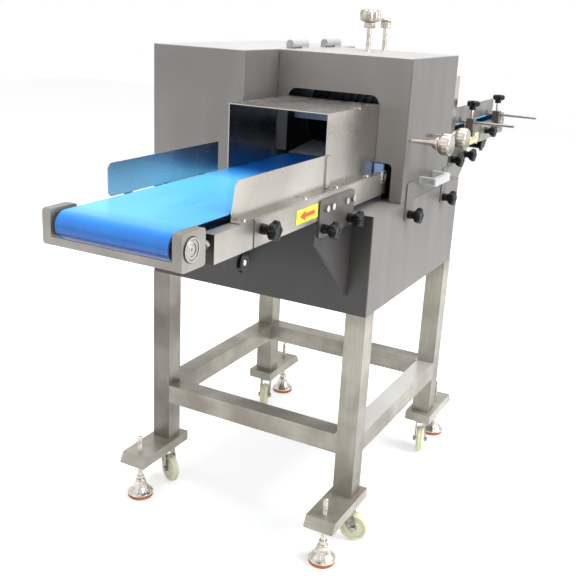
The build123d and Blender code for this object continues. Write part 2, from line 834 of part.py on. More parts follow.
def nose_rail(conveyor, side):
    """The short outer rail: channel, end plate with its take-up hole, and the splice tongue."""
    sign = conveyor.sign
    face = conveyor_middle + side * conveyor_half_width
    web = face - side * rail_sheet
    channel(side, conveyor.split + sign * split_gap, conveyor.rail_end, conveyor.low, conveyor.high)
    x0, x1 = sorted((face, face - side * rail_flange))
    y0, y1 = sorted((conveyor.rail_end, conveyor.rail_end - sign * rail_sheet))
    block(x0, x1, y0, y1, conveyor.low, conveyor.high)
    rod_y(y0 - 1, y1 + 1, face - side * take_up_inset, conveyor.axle_z - take_up_drop,
          take_up_radius + thread_fit, mode=Mode.SUBTRACT)
    x0, x1 = sorted((web, web - side * rail_sheet))
    y0, y1 = sorted((conveyor.split - sign * splice_reach, conveyor.rail_end - sign * splice_reach))
    block(x0, x1, y0, y1, conveyor.low + 2 * rail_sheet, conveyor.high - 2 * rail_sheet)


with BuildPart() as rails:
    for conveyor in (outfeed, infeed):
        sign = conveyor.sign
        for side in (-1, 1):
            channel(side, conveyor.inner - sign * rail_inner_reach, conveyor.split, conveyor.low, conveyor.high)
            nose_rail(conveyor, side)
        rod_x(rail_left - 1, rail_right + 1, conveyor.inner, conveyor.axle_z,
              roller_shaft_radius + bearing_fit, mode=Mode.SUBTRACT)
        rod_x(rail_right - 3 * rail_sheet, rail_right + 1, conveyor.knob_y,
              conveyor.axle_z - nose_knob_drop, stud_radius + thread_fit, mode=Mode.SUBTRACT)
finish(rails, "conveyor_rails")

# Slider beds: a flat plate under each upper belt run, carried by bars between the rails
with BuildPart() as beds:
    for conveyor in (outfeed, infeed):
        sign = conveyor.sign
        top = conveyor.axle_z + belt_inner_radius - running_gap
        y0 = conveyor.inner + sign * bed_roller_gap
        y1 = conveyor.split - sign * bed_split_gap
        half = belt_width / 2 - bed_inset
        block(conveyor_middle - half, conveyor_middle + half, min(y0, y1), max(y0, y1), top - bed_thickness, top)
        for place in bed_bar_places:
            y = y0 + (y1 - y0) * place
            block(rail_left + rail_sheet, rail_right - rail_sheet, y - bed_bar / 2, y + bed_bar / 2,
                  conveyor.high - rail_sheet - bed_bar + 2, conveyor.high - rail_sheet)
            block(conveyor_middle - half, conveyor_middle + half, y - bed_bar / 2, y + bed_bar / 2,
                  conveyor.high - rail_sheet, top - bed_thickness)
finish(beds, "belt_beds")


def belt(label, conveyor):
    """A closed loop round both rollers."""
    with BuildPart() as loop:
        for radius, mode in ((belt_outer_radius, Mode.ADD), (belt_inner_radius, Mode.SUBTRACT)):
            with BuildSketch(Plane.YZ.offset(conveyor_middle - belt_width / 2)) as run:
                with Locations(((conveyor.inner + conveyor.outer) / 2, conveyor.axle_z)):
                    SlotCenterToCenter(abs(conveyor.inner - conveyor.outer), 2 * radius)
            extrude(run.sketch, amount=belt_width, mode=mode)
    finish(loop, label)


def roller(label, y, z, shaft_left, shaft_right):
    """A belt roller with its shaft ends."""
    half = belt_width / 2 + 1
    with BuildPart() as drum:
        rod_x(conveyor_middle - half, conveyor_middle + half, y, z, roller_radius)
        rod_x(shaft_left, shaft_right, y, z, roller_shaft_radius)
    finish(drum, label)


for name, conveyor in conveyors.items():
    belt(name + "_belt", conveyor)
    roller(name + "_drive_roller", conveyor.inner, conveyor.axle_z, tower_right - drive_reach, rail_right + 1)
    roller(name + "_nose_roller", conveyor.outer, conveyor.axle_z, rail_left + 3, rail_right - 3)

# Nose yokes: two rounded bearing blocks and the plate that ties them below the belt
with BuildPart() as yokes:
    for conveyor in (outfeed, infeed):
        sign = conveyor.sign
        middle = (conveyor.yoke_end + conveyor.yoke_start) / 2
        block_middle = conveyor.axle_z - yoke_drop
        for side in (-1, 1):
            face = conveyor_middle + side * conveyor_half_width
            inner = face - side * yoke_thickness
            with BuildSketch(Plane.YZ.offset(min(face, inner))) as cheek:
                with Locations((middle, block_middle)):
                    RectangleRounded(yoke_length, yoke_height, yoke_round)
            extrude(cheek.sketch, amount=yoke_thickness)
        plate = sorted((conveyor.yoke_end, conveyor.yoke_end - sign * cross_plate_thickness))
        low = block_middle - yoke_height / 2 + 7.5
        block(rail_left + 4, rail_right - 4, plate[0], plate[1], low - 5, low + cross_plate_height - 7)
        rod_x(rail_left - 1, rail_right + 1, conveyor.outer, conveyor.axle_z,
              roller_shaft_radius + bearing_fit, mode=Mode.SUBTRACT)
finish(yokes, "nose_yokes")


# Round bearing caps on the yokes and on the inner ends of the rails
def bearing_cap(side, y, z, radius):
    face = conveyor_middle + side * conveyor_half_width
    plane = Plane((face, y, z), x_dir=(0, 1, 0), z_dir=(side, 0, 0))
    with BuildSketch(plane) as rim:
        Circle(radius)
        Circle(roller_shaft_radius + cap_bore_gap, mode=Mode.SUBTRACT)
    extrude(rim.sketch, amount=cap_thickness)
    with BuildSketch(plane.offset(cap_thickness)) as groove:
        Circle(radius * 0.81)
        Circle(radius * 0.68, mode=Mode.SUBTRACT)
    extrude(groove.sketch, amount=-cap_groove, mode=Mode.SUBTRACT)


with BuildPart() as caps:
    for conveyor in (outfeed, infeed):
        for side in (-1, 1):
            bearing_cap(side, conveyor.outer, conveyor.axle_z, nose_cap_radius)
        bearing_cap(1, conveyor.inner, conveyor.axle_z, inner_cap_radius)
finish(caps, "bearing_caps")


# Slotted tunnel guards, one before and one behind the hood
def guard_top_slots(conveyor, top):
    first = conveyor_middle - (slots_per_row - 1) * slot_pitch / 2
    for row, place in enumerate(slot_rows):
        y = conveyor.hood_wall + conveyor.sign * place
        for column in range(slots_per_row):
            x = first + column * slot_pitch + (row % 2) * slot_pitch / 4
            with BuildSketch(Plane.XY.offset(top - 2 * guard_sheet)) as slot:
                with Locations((x, y)):
                    SlotOverall(slot_length, slot_width, rotation=-conveyor.sign * slot_angle)
            extrude(slot.sketch, amount=3 * guard_sheet, mode=Mode.SUBTRACT)


def tunnel_guard(conveyor):
    """A sheet roof with two walls that stand on the rails by narrow flanges."""
    sign = conveyor.sign
    hood_wall = conveyor.hood_wall
    top = guard_top + conveyor.lift
    low = conveyor.high
    y_open = conveyor.guard_open
    y_wall = hood_wall + sign * guard_end_gap
    y0, y1 = sorted((y_open, y_wall))
    left_wall = sorted((y_open, hood_wall + sign * guard_left_gap))
    block(guard_left, guard_right, y0, y1, top - guard_sheet, top)
    block(guard_right - guard_sheet, guard_right, y0, y1, low, top)
    block(guard_left, guard_left + guard_sheet, left_wall[0], left_wall[1], low, top)
    flange = sorted((y_open, hood_wall + sign * (end_block_reach + 1)))
    block(guard_right - guard_sheet, rail_right - 2, flange[0], flange[1], low, low + guard_sheet)
    block(rail_left + 2, guard_left + guard_sheet, left_wall[0], left_wall[1], low, low + guard_sheet)
    guard_top_slots(conveyor, top)


with BuildPart() as guards:
    tunnel_guard(outfeed)
    tunnel_guard(infeed)
finish(guards, "tunnel_guards")

# Fixed side guides along the belts
guide_face = guard_right + guard_sheet
right_guide_front = outfeed.outer + right_guide_from_nose
guide_overlap_end = outfeed.guard_open + guide_overlap
left_guide_front = outfeed.outer + left_guide_from_nose
left_guide_back = outfeed.guard_open - left_guide_from_guard


def right_guide():
    """A plate with a leaning rounded front, a flange on the rail and a strip over the guard's end."""
    low = rail_top
    lean = right_guide_front + right_guide_lean
    across_x([(right_guide_front, low), (guide_overlap_end, low), (guide_overlap_end, guide_top),
              (lean + guide_corner, guide_top), (lean, guide_top - guide_corner)],
             guide_face - guard_sheet, guide_face)
    block(guide_face, rail_right - guard_sheet, right_guide_front, outfeed.guard_open - 1, low, low + guard_sheet)
    block(guide_face, guide_face + 1.5 * guard_sheet, guide_overlap_end - guide_strip, guide_overlap_end,
          low + 2 * guard_sheet, guide_top - guard_sheet)
    block(guide_face - 2 * guard_sheet, guide_face, outfeed.guard_open - guard_end_gap, guide_overlap_end + 1,
          low - 1, guide_top + 1, mode=Mode.SUBTRACT)


def left_guide():
    """A plate just over the belt's edge, on three small angle feet that stand on the rail."""
    face = guard_left
    low = belt_top + left_guide_gap
    high = guide_top + left_guide_proud
    corner = guide_corner
    across_x([(left_guide_front + corner, low), (left_guide_back, low), (left_guide_back, high),
              (left_guide_front + corner, high), (left_guide_front, high - corner),
              (left_guide_front, low + corner)], face, face + guard_sheet)
    middle = (left_guide_front + left_guide_back) / 2
    half = guide_foot_width / 2
    for y in (left_guide_front + guide_foot_inset, middle, left_guide_back - guide_foot_inset):
        block(face - guard_sheet, face, y - half, y + half, rail_top, low + guide_foot_height)
        block(rail_left + guard_sheet, face, y - half, y + half, rail_top, rail_top + guard_sheet)


with BuildPart() as side_guides:
    right_guide()
    left_guide()
finish(side_guides, "side_guides")

# Sliding infeed guide on two rods, and the blocks that clamp the rods
slide_low = belt_top + conveyor_step + left_guide_gap
slide_face = guard_right - slide_guide_inset - guard_sheet
slide_guide_start = infeed.guard_open + slide_guide_from_guard
slide_guide_end = infeed.outer - slide_guide_from_nose
guide_rod_places = (slide_guide_start + front_rod_inset, slide_guide_end - rear_rod_inset)
rod_height = slide_low + guide_rod_radius + running_gap
clamp_x0 = rail_right - 8
clamp_x1 = clamp_x0 + clamp_width
with BuildPart() as slide_guide:
    slide_high = slide_low + slide_guide_height
    across_x([(slide_guide_start, slide_low), (slide_guide_end, slide_low),
              (slide_guide_end, slide_high - guide_corner), (slide_guide_end - guide_corner, slide_high),
              (slide_guide_start, slide_high)], slide_face - guard_sheet, slide_face)
    for y in guide_rod_places:
        rod_x(slide_face - 1, slide_face + guide_rod_length, y, rod_height, guide_rod_radius)
        block(slide_face, slide_face + 4, y - 9, y + 9, slide_low, slide_low + 16)
finish(slide_guide, "infeed_guide")

with BuildPart() as clamps:
    for y in guide_rod_places:
        low = rail_top + conveyor_step
        block(clamp_x0, clamp_x1, y - clamp_width / 2, y + clamp_width / 2, low, low + clamp_top_rise)
        corners_here = clamps.edges().filter_by(Axis.Z).filter_by(lambda edge: abs(edge.center().Y - y) < clamp_width)
        fillet(corners_here, 3)
        block(rail_right, clamp_x1, y - clamp_width / 2, y + clamp_width / 2, low - 20, low)
        rod_x(clamp_x0 - 1, clamp_x1 + 1, y, rod_height, guide_rod_radius + bearing_fit, mode=Mode.SUBTRACT)
        rod_z(rod_height + guide_rod_radius + 1, low + clamp_top_rise + 1, (clamp_x0 + clamp_x1) / 2, y,
              stud_radius + thread_fit, mode=Mode.SUBTRACT)
finish(clamps, "guide_clamps")


def tee_knob(label, y):
    """A clamp knob on a tall stud above its block."""
    seat = rail_top + conveyor_step + clamp_top_rise
    x = (clamp_x0 + clamp_x1) / 2
    stud_low = rod_height + guide_rod_radius + 1.3
    with BuildPart() as knob:
        with BuildSketch(Plane((x, y, stud_low))):
            Circle(stud_radius)
        extrude(amount=seat + tee_stud_rise - stud_low)
        with BuildSketch(Plane((x, y, seat + tee_stud_rise - 1))):
            Circle(knob_neck_radius)
        extrude(amount=tee_neck + 1, taper=4)
        knob_head_on(Plane((x, y, seat + tee_stud_rise + tee_neck - 1)))
    finish(knob, label)


for name, y in zip(("front", "rear"), guide_rod_places):
    tee_knob("guide_knob_" + name, y)

# Hanger plates that hold each conveyor to its gussets
with BuildPart() as hangers:
    for conveyor in (outfeed, infeed):
        sign = conveyor.sign
        y0, y1 = sorted((conveyor.hanger_from + sign * hanger_near, conveyor.hanger_from + sign * hanger_far))
        top = conveyor.high - hanger_top_inset
        bottom = conveyor.low - hanger_drop
        for side in (-1, 1):
            face = conveyor_middle + side * conveyor_half_width
            with BuildSketch(Plane.YZ.offset(face if side > 0 else face - hanger_thickness)) as plate:
                with Locations(((y0 + y1) / 2, (top + bottom) / 2)):
                    RectangleRounded(y1 - y0, top - bottom, hanger_corner)
                for place in hanger_knob_places:
                    with Locations((conveyor.hanger_from + sign * place, conveyor.low - hanger_knob_drop)):
                        Circle(stud_radius + thread_fit, mode=Mode.SUBTRACT)
            extrude(plate.sketch, amount=hanger_thickness)
finish(hangers, "hanger_plates")

for name, conveyor in conveyors.items():
    for end, place in zip(("outer", "inner"), hanger_knob_places):
        y = conveyor.hanger_from + conveyor.sign * place
        clamp_knob(name + "_hanger_knob_" + end, (rail_right + hanger_thickness, y,
                   conveyor.low - hanger_knob_drop), (1, 0, 0), hanger_thickness + gusset_thickness + 4)
    clamp_knob(name + "_nose_knob", (rail_right, conveyor.knob_y,
               conveyor.axle_z - nose_knob_drop), (1, 0, 0), 2 * rail_sheet)


# Fasteners: hexagon heads on the hangers, take-up bolts, screws in the flanges and on the door
def hex_head_x(side, face, y, z):
    plane = Plane((face, y, z), x_dir=(0, 1, 0), z_dir=(side, 0, 0))
    with BuildSketch(plane) as head:
        RegularPolygon(hex_across / math.sqrt(3), 6)
    extrude(head.sketch, amount=hex_head)


def take_up_bolt(side, conveyor):
    face = conveyor_middle + side * conveyor_half_width
    x = face - side * take_up_inset
    z = conveyor.axle_z - take_up_drop
    y0, y1 = sorted((conveyor.yoke_start, conveyor.rail_end - conveyor.sign * take_up_tail))
    rod_y(y0, y1, x, z, take_up_radius)
    middle = conveyor.yoke_start - conveyor.sign * yoke_gap / 2
    with BuildSketch(Plane((x, middle + take_up_nut / 2, z), x_dir=(1, 0, 0), z_dir=(0, -1, 0))) as nut:
        RegularPolygon(take_up_nut_across / math.sqrt(3), 6)
    extrude(nut.sketch, amount=take_up_nut)


with BuildPart() as fasteners:
    for conveyor in (outfeed, infeed):
        for side in (-1, 1):
            face = conveyor_middle + side * (conveyor_half_width + hanger_thickness)
            for place in hanger_bolt_places:
                if side > 0:
                    hex_head_x(side, face, conveyor.hanger_from + conveyor.sign * place,
                               conveyor.low + hanger_bolt_rise)
            take_up_bolt(side, conveyor)
    flange_x = rail_right - 12
    guide_length = outfeed.guard_open - right_guide_front
    for y in (right_guide_front + 0.07 * guide_length, right_guide_front + 0.7 * guide_length):
        rod_z(rail_top + guard_sheet, rail_top + guard_sheet + screw_head, flange_x, y, screw_radius)
    for conveyor in (outfeed, infeed):
        for place in flange_screw_places:
            rod_z(conveyor.high + guard_sheet, conveyor.high + guard_sheet + screw_head, flange_x,
                  conveyor.hood_wall + conveyor.sign * place, screw_radius)
    inset = door_margin + door_lap
    for x in (left + inset, tower_right - inset):
        for z in (base_top + inset + 2, (base_top + machine_top) / 2, machine_top - inset - 2):
            rod_y(back + door_thickness, back + door_thickness + screw_head, x, z, screw_radius)
finish(fasteners, "fasteners")

# Belt scrapers: black holders under the nose rails with a round bar and a wiper strip
with BuildPart() as scrapers:
    for conveyor in (outfeed, infeed):
        sign = conveyor.sign
        low = conveyor.low
        start = conveyor.split + sign * scraper_from_split
        bar_z = low - scraper_drop
        sole = bar_z - scraper_sole
        for side in (-1, 1):
            face = conveyor_middle + side * conveyor_half_width
            inner = face - side * scraper_thickness
            x0, x1 = sorted((face - side, inner))
            across_x([(start, low), (start + sign * 2, sole), (start + sign * scraper_sole_length, sole),
                      (start + sign * scraper_length, low)], x0, x1)
            cap = sorted((face - side * scraper_cap, face + side * scraper_cap))
            rod_x(cap[0], cap[1], start, bar_z, scraper_cap_radius)
        rod_x(rail_left + scraper_cap, rail_right - scraper_cap, start, bar_z, scraper_cap_radius / 2)
        half = belt_width / 2 - 6
        half_strip = scraper_strip / 2
        block(conveyor_middle - half, conveyor_middle + half, start - half_strip, start + half_strip,
              bar_z, conveyor.axle_z - belt_outer_radius - running_gap)
finish(scrapers, "belt_scrapers")

# Plain yellow plates with a raised arrow for the belt's direction
def arrow_plate(middle_y, middle_z):
    with BuildSketch(Plane.YZ.offset(rail_right)) as plate:
        with Locations((middle_y, middle_z)):
            RectangleRounded(arrow_plate_length, arrow_plate_height, arrow_plate_height / 14)
    extrude(plate.sketch, amount=arrow_plate_thickness)
    tip = middle_y - 0.35 * arrow_plate_length
    neck = middle_y - 0.10 * arrow_plate_length
    tail = middle_y + 0.35 * arrow_plate_length
    head = 0.36 * arrow_plate_height
    shaft = 0.15 * arrow_plate_height
    with BuildSketch(Plane.YZ.offset(rail_right + arrow_plate_thickness)) as arrow:
        with BuildLine():
            Polyline((tip, middle_z), (neck, middle_z + head), (neck, middle_z + shaft),
                     (tail, middle_z + shaft), (tail, middle_z - shaft), (neck, middle_z - shaft),
                     (neck, middle_z - head), close=True)
        make_face()
    extrude(arrow.sketch, amount=arrow_thickness)


with BuildPart() as arrows:
    arrow_plate(outfeed.face - outfeed_arrow_reach, outfeed.low + outfeed_arrow_rise)
    arrow_plate(infeed.face + infeed_arrow_reach, infeed.low + infeed_arrow_rise)
finish(arrows, "arrow_plates")

# White plastic blocks on the inner rail ends, below the arch's step
with BuildPart() as end_blocks:
    x0 = guard_right + 3
    x1 = rail_right - 2
    block(x0, x1, hood_front - end_block_reach, hood_front + end_block_reach, rail_top, notch_top - 2)
    block(x0, x1, hood_back - end_block_reach, hood_back + end_block_reach, infeed.high,
          notch_top + conveyor_step - 2)
finish(end_blocks, "end_blocks")

# Cutter cassette: two side plates with tie bars, knife shaft, knives, feed roller, bed and comb
inner_left = conveyor_middle - cassette_half_inner
cassette_front = hood_front + cassette_gap
cassette_back = hood_back - cassette_gap
cassette_low_front = hood_front + cassette_low_front_gap
cassette_low_back = hood_back - cassette_low_back_gap
inner_right = conveyor_middle + cassette_half_inner
cassette_beam = cassette_top - cassette_tie_height
step_front = rail_top + cassette_arch_rise
step_back = infeed.high + cassette_arch_rise
half_tie = cassette_tie / 2
with BuildPart() as cassette:
    for x0 in (inner_left - cassette_plate, inner_right):
        across_x([(cassette_low_front, base_top), (cassette_low_back, base_top),
                  (cassette_low_back, step_back), (cassette_back, step_back), (cassette_back, cassette_beam),
                  (cassette_front, cassette_beam), (cassette_front, step_front), (cassette_low_front, step_front)],
                 x0, x0 + cassette_plate)
    for y in top_screw_places:
        block(inner_left - cassette_plate, inner_right + cassette_plate, y - half_tie, y + half_tie,
              cassette_beam, cassette_top)
    for y, z, radius in ((knife_shaft_y, knife_shaft_z, knife_shaft_radius),
                         (feed_roller_y, feed_roller_z, roller_shaft_radius)):
        rod_x(inner_left - 20, inner_right + 20, y, z, radius + bearing_fit, mode=Mode.SUBTRACT)
finish(cassette, "cassette_frame")

with BuildPart() as shaft:
    rod_x(tower_right - knife_shaft_reach, inner_right + cassette_plate + 6, knife_shaft_y, knife_shaft_z, knife_shaft_radius)
    for gap in range(knife_count + 1):
        x0 = conveyor_middle + (gap - (knife_count + 1) / 2) * knife_pitch + knife_thickness / 2 + 0.05
        x1 = x0 + knife_pitch - knife_thickness - 0.1
        rod_x(x0, x1, knife_shaft_y, knife_shaft_z, spacer_radius)
finish(shaft, "knife_shaft")

with BuildPart() as knives:
    section_plane = Plane((0, knife_shaft_y, knife_shaft_z), x_dir=(1, 0, 0), z_dir=(0, -1, 0))
    bore = knife_shaft_radius + bearing_fit
    bevel_start = knife_radius - knife_bevel
    for number in range(knife_count):
        x = conveyor_middle + (number - (knife_count - 1) / 2) * knife_pitch
        half = knife_thickness / 2
        with BuildSketch(section_plane) as section:
            with BuildLine():
                Polyline((x - half, bore), (x + half, bore), (x + half, bevel_start), (x + knife_edge, knife_radius),
                         (x - knife_edge, knife_radius), (x - half, bevel_start), close=True)
            make_face()
        revolve(section.sketch, axis=Axis((0, knife_shaft_y, knife_shaft_z), (1, 0, 0)))
finish(knives, "circular_knives")

with BuildPart() as feed_roller:
    with BuildSketch(Plane.YZ.offset(conveyor_middle - belt_width / 2 + 6)) as star:
        with Locations((feed_roller_y, feed_roller_z)):
            Circle(feed_roller_radius)
            with PolarLocations(feed_roller_radius, feed_roller_teeth):
                Circle(feed_groove_radius, mode=Mode.SUBTRACT)
    extrude(star.sketch, amount=belt_width - 12)
    rod_x(tower_right - drive_reach, inner_right + cassette_plate, feed_roller_y, feed_roller_z,
          roller_shaft_radius)
finish(feed_roller, "feed_roller")

bed_front = cassette_low_front - 2
bed_back = cassette_low_back + 1
with BuildPart() as feed_bed:
    bed_high = belt_top + conveyor_step - 6
    across_x([(bed_front, belt_top - 3), (bed_back, bed_high), (bed_back, bed_high - bed_edge),
              (bed_front + 20, belt_top - 3 - bed_edge)], inner_left, inner_right)
    for number in range(knife_count):
        x = conveyor_middle + (number - (knife_count - 1) / 2) * knife_pitch
        block(x - bed_slot / 2, x + bed_slot / 2, knife_shaft_y - bed_slot_reach, knife_shaft_y + bed_slot_reach,
              belt_top - 20, belt_top + conveyor_step, mode=Mode.SUBTRACT)
finish(feed_bed, "feed_bed")

with BuildPart() as comb:
    comb_y = knife_shaft_y - knife_radius - comb_gap
    comb_half = comb_bar_height / 2
    block(inner_left, inner_right, comb_y - comb_bar, comb_y, knife_shaft_z - comb_half, knife_shaft_z + comb_half)
    for gap in range(knife_count + 1):
        x = conveyor_middle + (gap - knife_count / 2) * knife_pitch
        across_x([(comb_y - 1, knife_shaft_z - 5), (knife_shaft_y - spacer_radius - 1.5, knife_shaft_z - 2),
                  (knife_shaft_y - spacer_radius - 1.5, knife_shaft_z + 2), (comb_y - 1, knife_shaft_z + 5)],
                 x - comb_finger / 2, x + comb_finger / 2)
finish(comb, "stripper_comb")
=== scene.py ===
import bmesh
import bpy
import math
import numpy as np
from mathutils import Matrix, Vector


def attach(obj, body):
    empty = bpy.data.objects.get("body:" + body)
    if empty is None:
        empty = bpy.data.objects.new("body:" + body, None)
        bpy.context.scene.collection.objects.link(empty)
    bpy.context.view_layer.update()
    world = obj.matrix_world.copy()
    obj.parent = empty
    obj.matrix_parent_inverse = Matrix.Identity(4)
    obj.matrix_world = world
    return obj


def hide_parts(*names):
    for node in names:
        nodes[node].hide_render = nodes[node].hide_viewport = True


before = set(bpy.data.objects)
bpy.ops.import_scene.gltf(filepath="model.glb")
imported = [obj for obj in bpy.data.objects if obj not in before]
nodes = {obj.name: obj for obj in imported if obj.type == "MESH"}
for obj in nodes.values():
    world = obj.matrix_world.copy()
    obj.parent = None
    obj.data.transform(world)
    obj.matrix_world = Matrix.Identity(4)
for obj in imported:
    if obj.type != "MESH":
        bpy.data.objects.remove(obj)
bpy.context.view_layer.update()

# Lengths below are in millimetres from the floor point in the middle of the four legs, as in the
# part's source. The frame's own origin is in the middle of the overall size.
overall_middle = np.array([44.0, -19.0, 0.0])
millimetre = 0.001


def placed(points):
    """Millimetres from the middle of the legs to metres in the frame."""
    return (np.asarray(points, float) - overall_middle) * millimetre


# Surfaces worked out on grids

def surface(name, points, finish, closed=True, smooth=True):
    """A grid of points, rows along a profile and columns round it, made into a mesh of quads. Columns
    join up when closed, rows that shrink to a point are merged, and faces are turned outwards."""
    rows, columns = points.shape[:2]
    row = np.arange(rows - 1)[:, None]
    column = np.arange(columns if closed else columns - 1)[None, :]
    ahead = (column + 1) % columns
    quads = np.stack([row * columns + column, row * columns + ahead, (row + 1) * columns + ahead,
                      (row + 1) * columns + column], axis=-1).reshape(-1, 4)
    mesh = bpy.data.meshes.new(name)
    mesh.from_pydata(placed(points.reshape(-1, 3)).tolist(), [], quads.tolist())
    work = bmesh.new()
    work.from_mesh(mesh)
    bmesh.ops.remove_doubles(work, verts=work.verts, dist=1e-6)
    bmesh.ops.recalc_face_normals(work, faces=work.faces)
    work.to_mesh(mesh)
    work.free()
    mesh.polygons.foreach_set("use_smooth", [smooth] * len(mesh.polygons))
    mesh.materials.append(finish)
    piece = bpy.data.objects.new(name, mesh)
    bpy.context.collection.objects.link(piece)
    return piece


def turned(name, profile, origin, along, finish, outline=None, columns=96, smooth=True):
    """A profile of (radius, height) rows turned round an axis. outline(angle, radius, height) gives
    the factor by which the radius is drawn in there."""
    along = np.asarray(along, float)
    side = np.array([0.0, 1.0, 0.0]) if abs(along[1]) < 0.5 else np.array([1.0, 0.0, 0.0])
    other = np.cross(along, side)
    angle = np.linspace(0, 2 * np.pi, columns, endpoint=False)[None, :]
    radius = np.asarray(profile, float)[:, :1]
    height = np.asarray(profile, float)[:, 1:2] + 0 * angle
    reach = radius * (outline(angle, radius, height) if outline else 1 + 0 * angle)
    points = (np.asarray(origin, float) + height[..., None] * along
              + (reach * np.cos(angle))[..., None] * side + (reach * np.sin(angle))[..., None] * other)
    return surface(name, points, finish, smooth=smooth)


def rounded(corners, rounding=1.0, steps=4):
    """A profile through (radius, height) corners with each corner eased by a small quadratic curve."""
    corners = [np.array(c, float) for c in corners]
    rows = [corners[0]]
    for before, corner, after in zip(corners, corners[1:], corners[2:]):
        back, ahead = before - corner, after - corner
        ease = min(rounding, 0.45 * np.linalg.norm(back), 0.45 * np.linalg.norm(ahead))
        start = corner + back / np.linalg.norm(back) * ease
        end = corner + ahead / np.linalg.norm(ahead) * ease
        for t in np.linspace(0, 1, steps):
            rows.append((1 - t) ** 2 * start + 2 * t * (1 - t) * corner + t ** 2 * end)
    rows.append(corners[-1])
    return np.array(rows)


def blend(low, high, value):
    """0 below low, 1 above high, eased between them."""
    t = np.clip((value - low) / (high - low), 0, 1)
    return t * t * (3 - 2 * t)


def hexagon(angle, radius, height):
    """The factor that turns a circle into a hexagon: the flat's distance over the cosine from its middle."""
    middle = (angle % (np.pi / 3)) - np.pi / 6
    return np.cos(np.pi / 6) / np.cos(middle)


# Shader maths

class Amount:
    """A number or colour that the shader works out. Python's operators add its Math nodes."""

    def __init__(self, finish, socket):
        self.finish = finish
        self.socket = socket

    def math(self, kind, first, second):
        return self.finish.node("ShaderNodeMath", {"operation": kind}, {0: first, 1: second})

    def __add__(self, other):
        return self.math("ADD", self, other)

    def __radd__(self, other):
        return self.math("ADD", other, self)

    def __sub__(self, other):
        return self.math("SUBTRACT", self, other)

    def __rsub__(self, other):
        return self.math("SUBTRACT", other, self)

    def __mul__(self, other):
        return self.math("MULTIPLY", self, other)

    def __rmul__(self, other):
        return self.math("MULTIPLY", other, self)

    def __pow__(self, other):
        return self.math("POWER", self, other)

    def __gt__(self, other):
        return self.math("GREATER_THAN", self, other)

    def larger(self, other):
        return self.math("MAXIMUM", self, other)

    def apart(self, other):
        return self.math("ABSOLUTE", self - other, 0.0)


class Finish:
    """One material: a Principled shader and the nodes that feed it."""

    def __init__(self, name):
        self.material = bpy.data.materials.new(name)
        self.material.use_nodes = True
        self.tree = self.material.node_tree
        self.tree.nodes.clear()
        self.shader = self.tree.nodes.new("ShaderNodeBsdfPrincipled")
        output = self.tree.nodes.new("ShaderNodeOutputMaterial")
        self.tree.links.new(self.shader.outputs[0], output.inputs["Surface"])
        self.place = self.node("ShaderNodeTexCoord", out="Object")

    def feed(self, socket, value):
        if isinstance(value, Amount):
            self.tree.links.new(value.socket, socket)
        else:
            socket.default_value = value

    def node(self, kind, settings=None, sockets=None, out=0):
        made = self.tree.nodes.new(kind)
        for key, value in (settings or {}).items():
            if key == "stops":
                ramp = made.color_ramp.elements
                while len(ramp) < len(value):
                    ramp.new(0.5)
                for element, (position, colour) in zip(ramp, value):
                    element.position = position
                    element.color = colour
            else:
                setattr(made, key, value)
        for key, value in (sockets or {}).items():
            self.feed(made.inputs[key], value)
        return Amount(self, made.outputs[out])

    def set(self, **inputs):
        for key, value in inputs.items():
            self.feed(self.shader.inputs[key.replace("_", " ")], value)

    def stretched(self, scale):
        return self.node("ShaderNodeMapping", {"vector_type": "POINT"},
                         {"Vector": self.place, "Scale": scale}, out="Vector")

    def noise(self, scale, detail=3.0, where=None):
        return self.node("ShaderNodeTexNoise", {"noise_dimensions": "3D"},
                         {"Vector": where or self.place, "Scale": scale, "Detail": detail}, out=0)

    def between(self, factor, first, second):
        return self.node("ShaderNodeMix", {"data_type": "RGBA"}, {0: factor, 6: first, 7: second}, out=2)

    def bump(self, height, strength, distance=0.0005):
        return self.node("ShaderNodeBump", None,
                         {"Height": height, "Strength": strength, "Distance": distance}, out="Normal")

    def along(self, axis):
        """The x, y or z of the point, in metres."""
        return self.node("ShaderNodeSeparateXYZ", None, {0: self.place}, out=axis)

    def spread(self, amount, low, high):
        return self.node("ShaderNodeMapRange", {"clamp": True},
                         {0: amount, 1: low, 2: high, 3: 0.0, 4: 1.0}, out=0)


def shade(level):
    """A display level from 0 to 255 as linear light."""
    c = np.asarray(level, float) / 255
    return np.where(c <= 0.04045, c / 12.92, ((c + 0.055) / 1.055) ** 2.4)


def colour(red, green, blue):
    return tuple(float(c) for c in shade([red, green, blue])) + (1.0,)


# Tones for painted light and painted shade on the metal sheets and tubes
painted_top_tone = colour(214, 214, 215)
painted_sheet_shade = colour(46, 45, 44)
painted_light_tone = colour(250, 248, 244)
painted_tube_shade = colour(40, 38, 36)


def blasted_steel(name, light, dark, metal=0.30, roughness=0.46, dim=None, pale=None):
    """Bead-blasted sheet: a fine grain over broad soft clouds of tone and a few faint wipe marks. Where
    dim(finish) or pale(finish) is above 0, the sheet is drawn towards a painted shade or a painted light
    tone."""
    f = Finish(name)
    clouds = f.spread(f.noise(4.0, 2.0), 0.35, 0.7)
    wipes = f.spread(f.noise(1.0, 4.0, f.stretched((14.0, 14.0, 3.0))), 0.50, 0.78)
    grain = f.noise(1400.0, 2.0)
    tone = f.between(clouds, dark, light)
    specks = f.spread(grain, 0.42, 0.6)
    base = f.between(specks * 0.14, tone, colour(205, 203, 200))
    base = f.between(wipes * 0.10, base, colour(190, 186, 180))
    # pale paints light and dim paints shade into the sheet's colour
    if pale:
        base = f.between(pale(f), base, painted_top_tone)
    if dim:
        base = f.between(dim(f), base, painted_sheet_shade)
    f.set(Base_Color=base, Metallic=metal, Roughness=roughness + 0.06 * clouds - 0.05 * grain - 0.05 * wipes)
    f.set(Normal=f.bump(grain, 0.12, 0.00012))
    return f.material


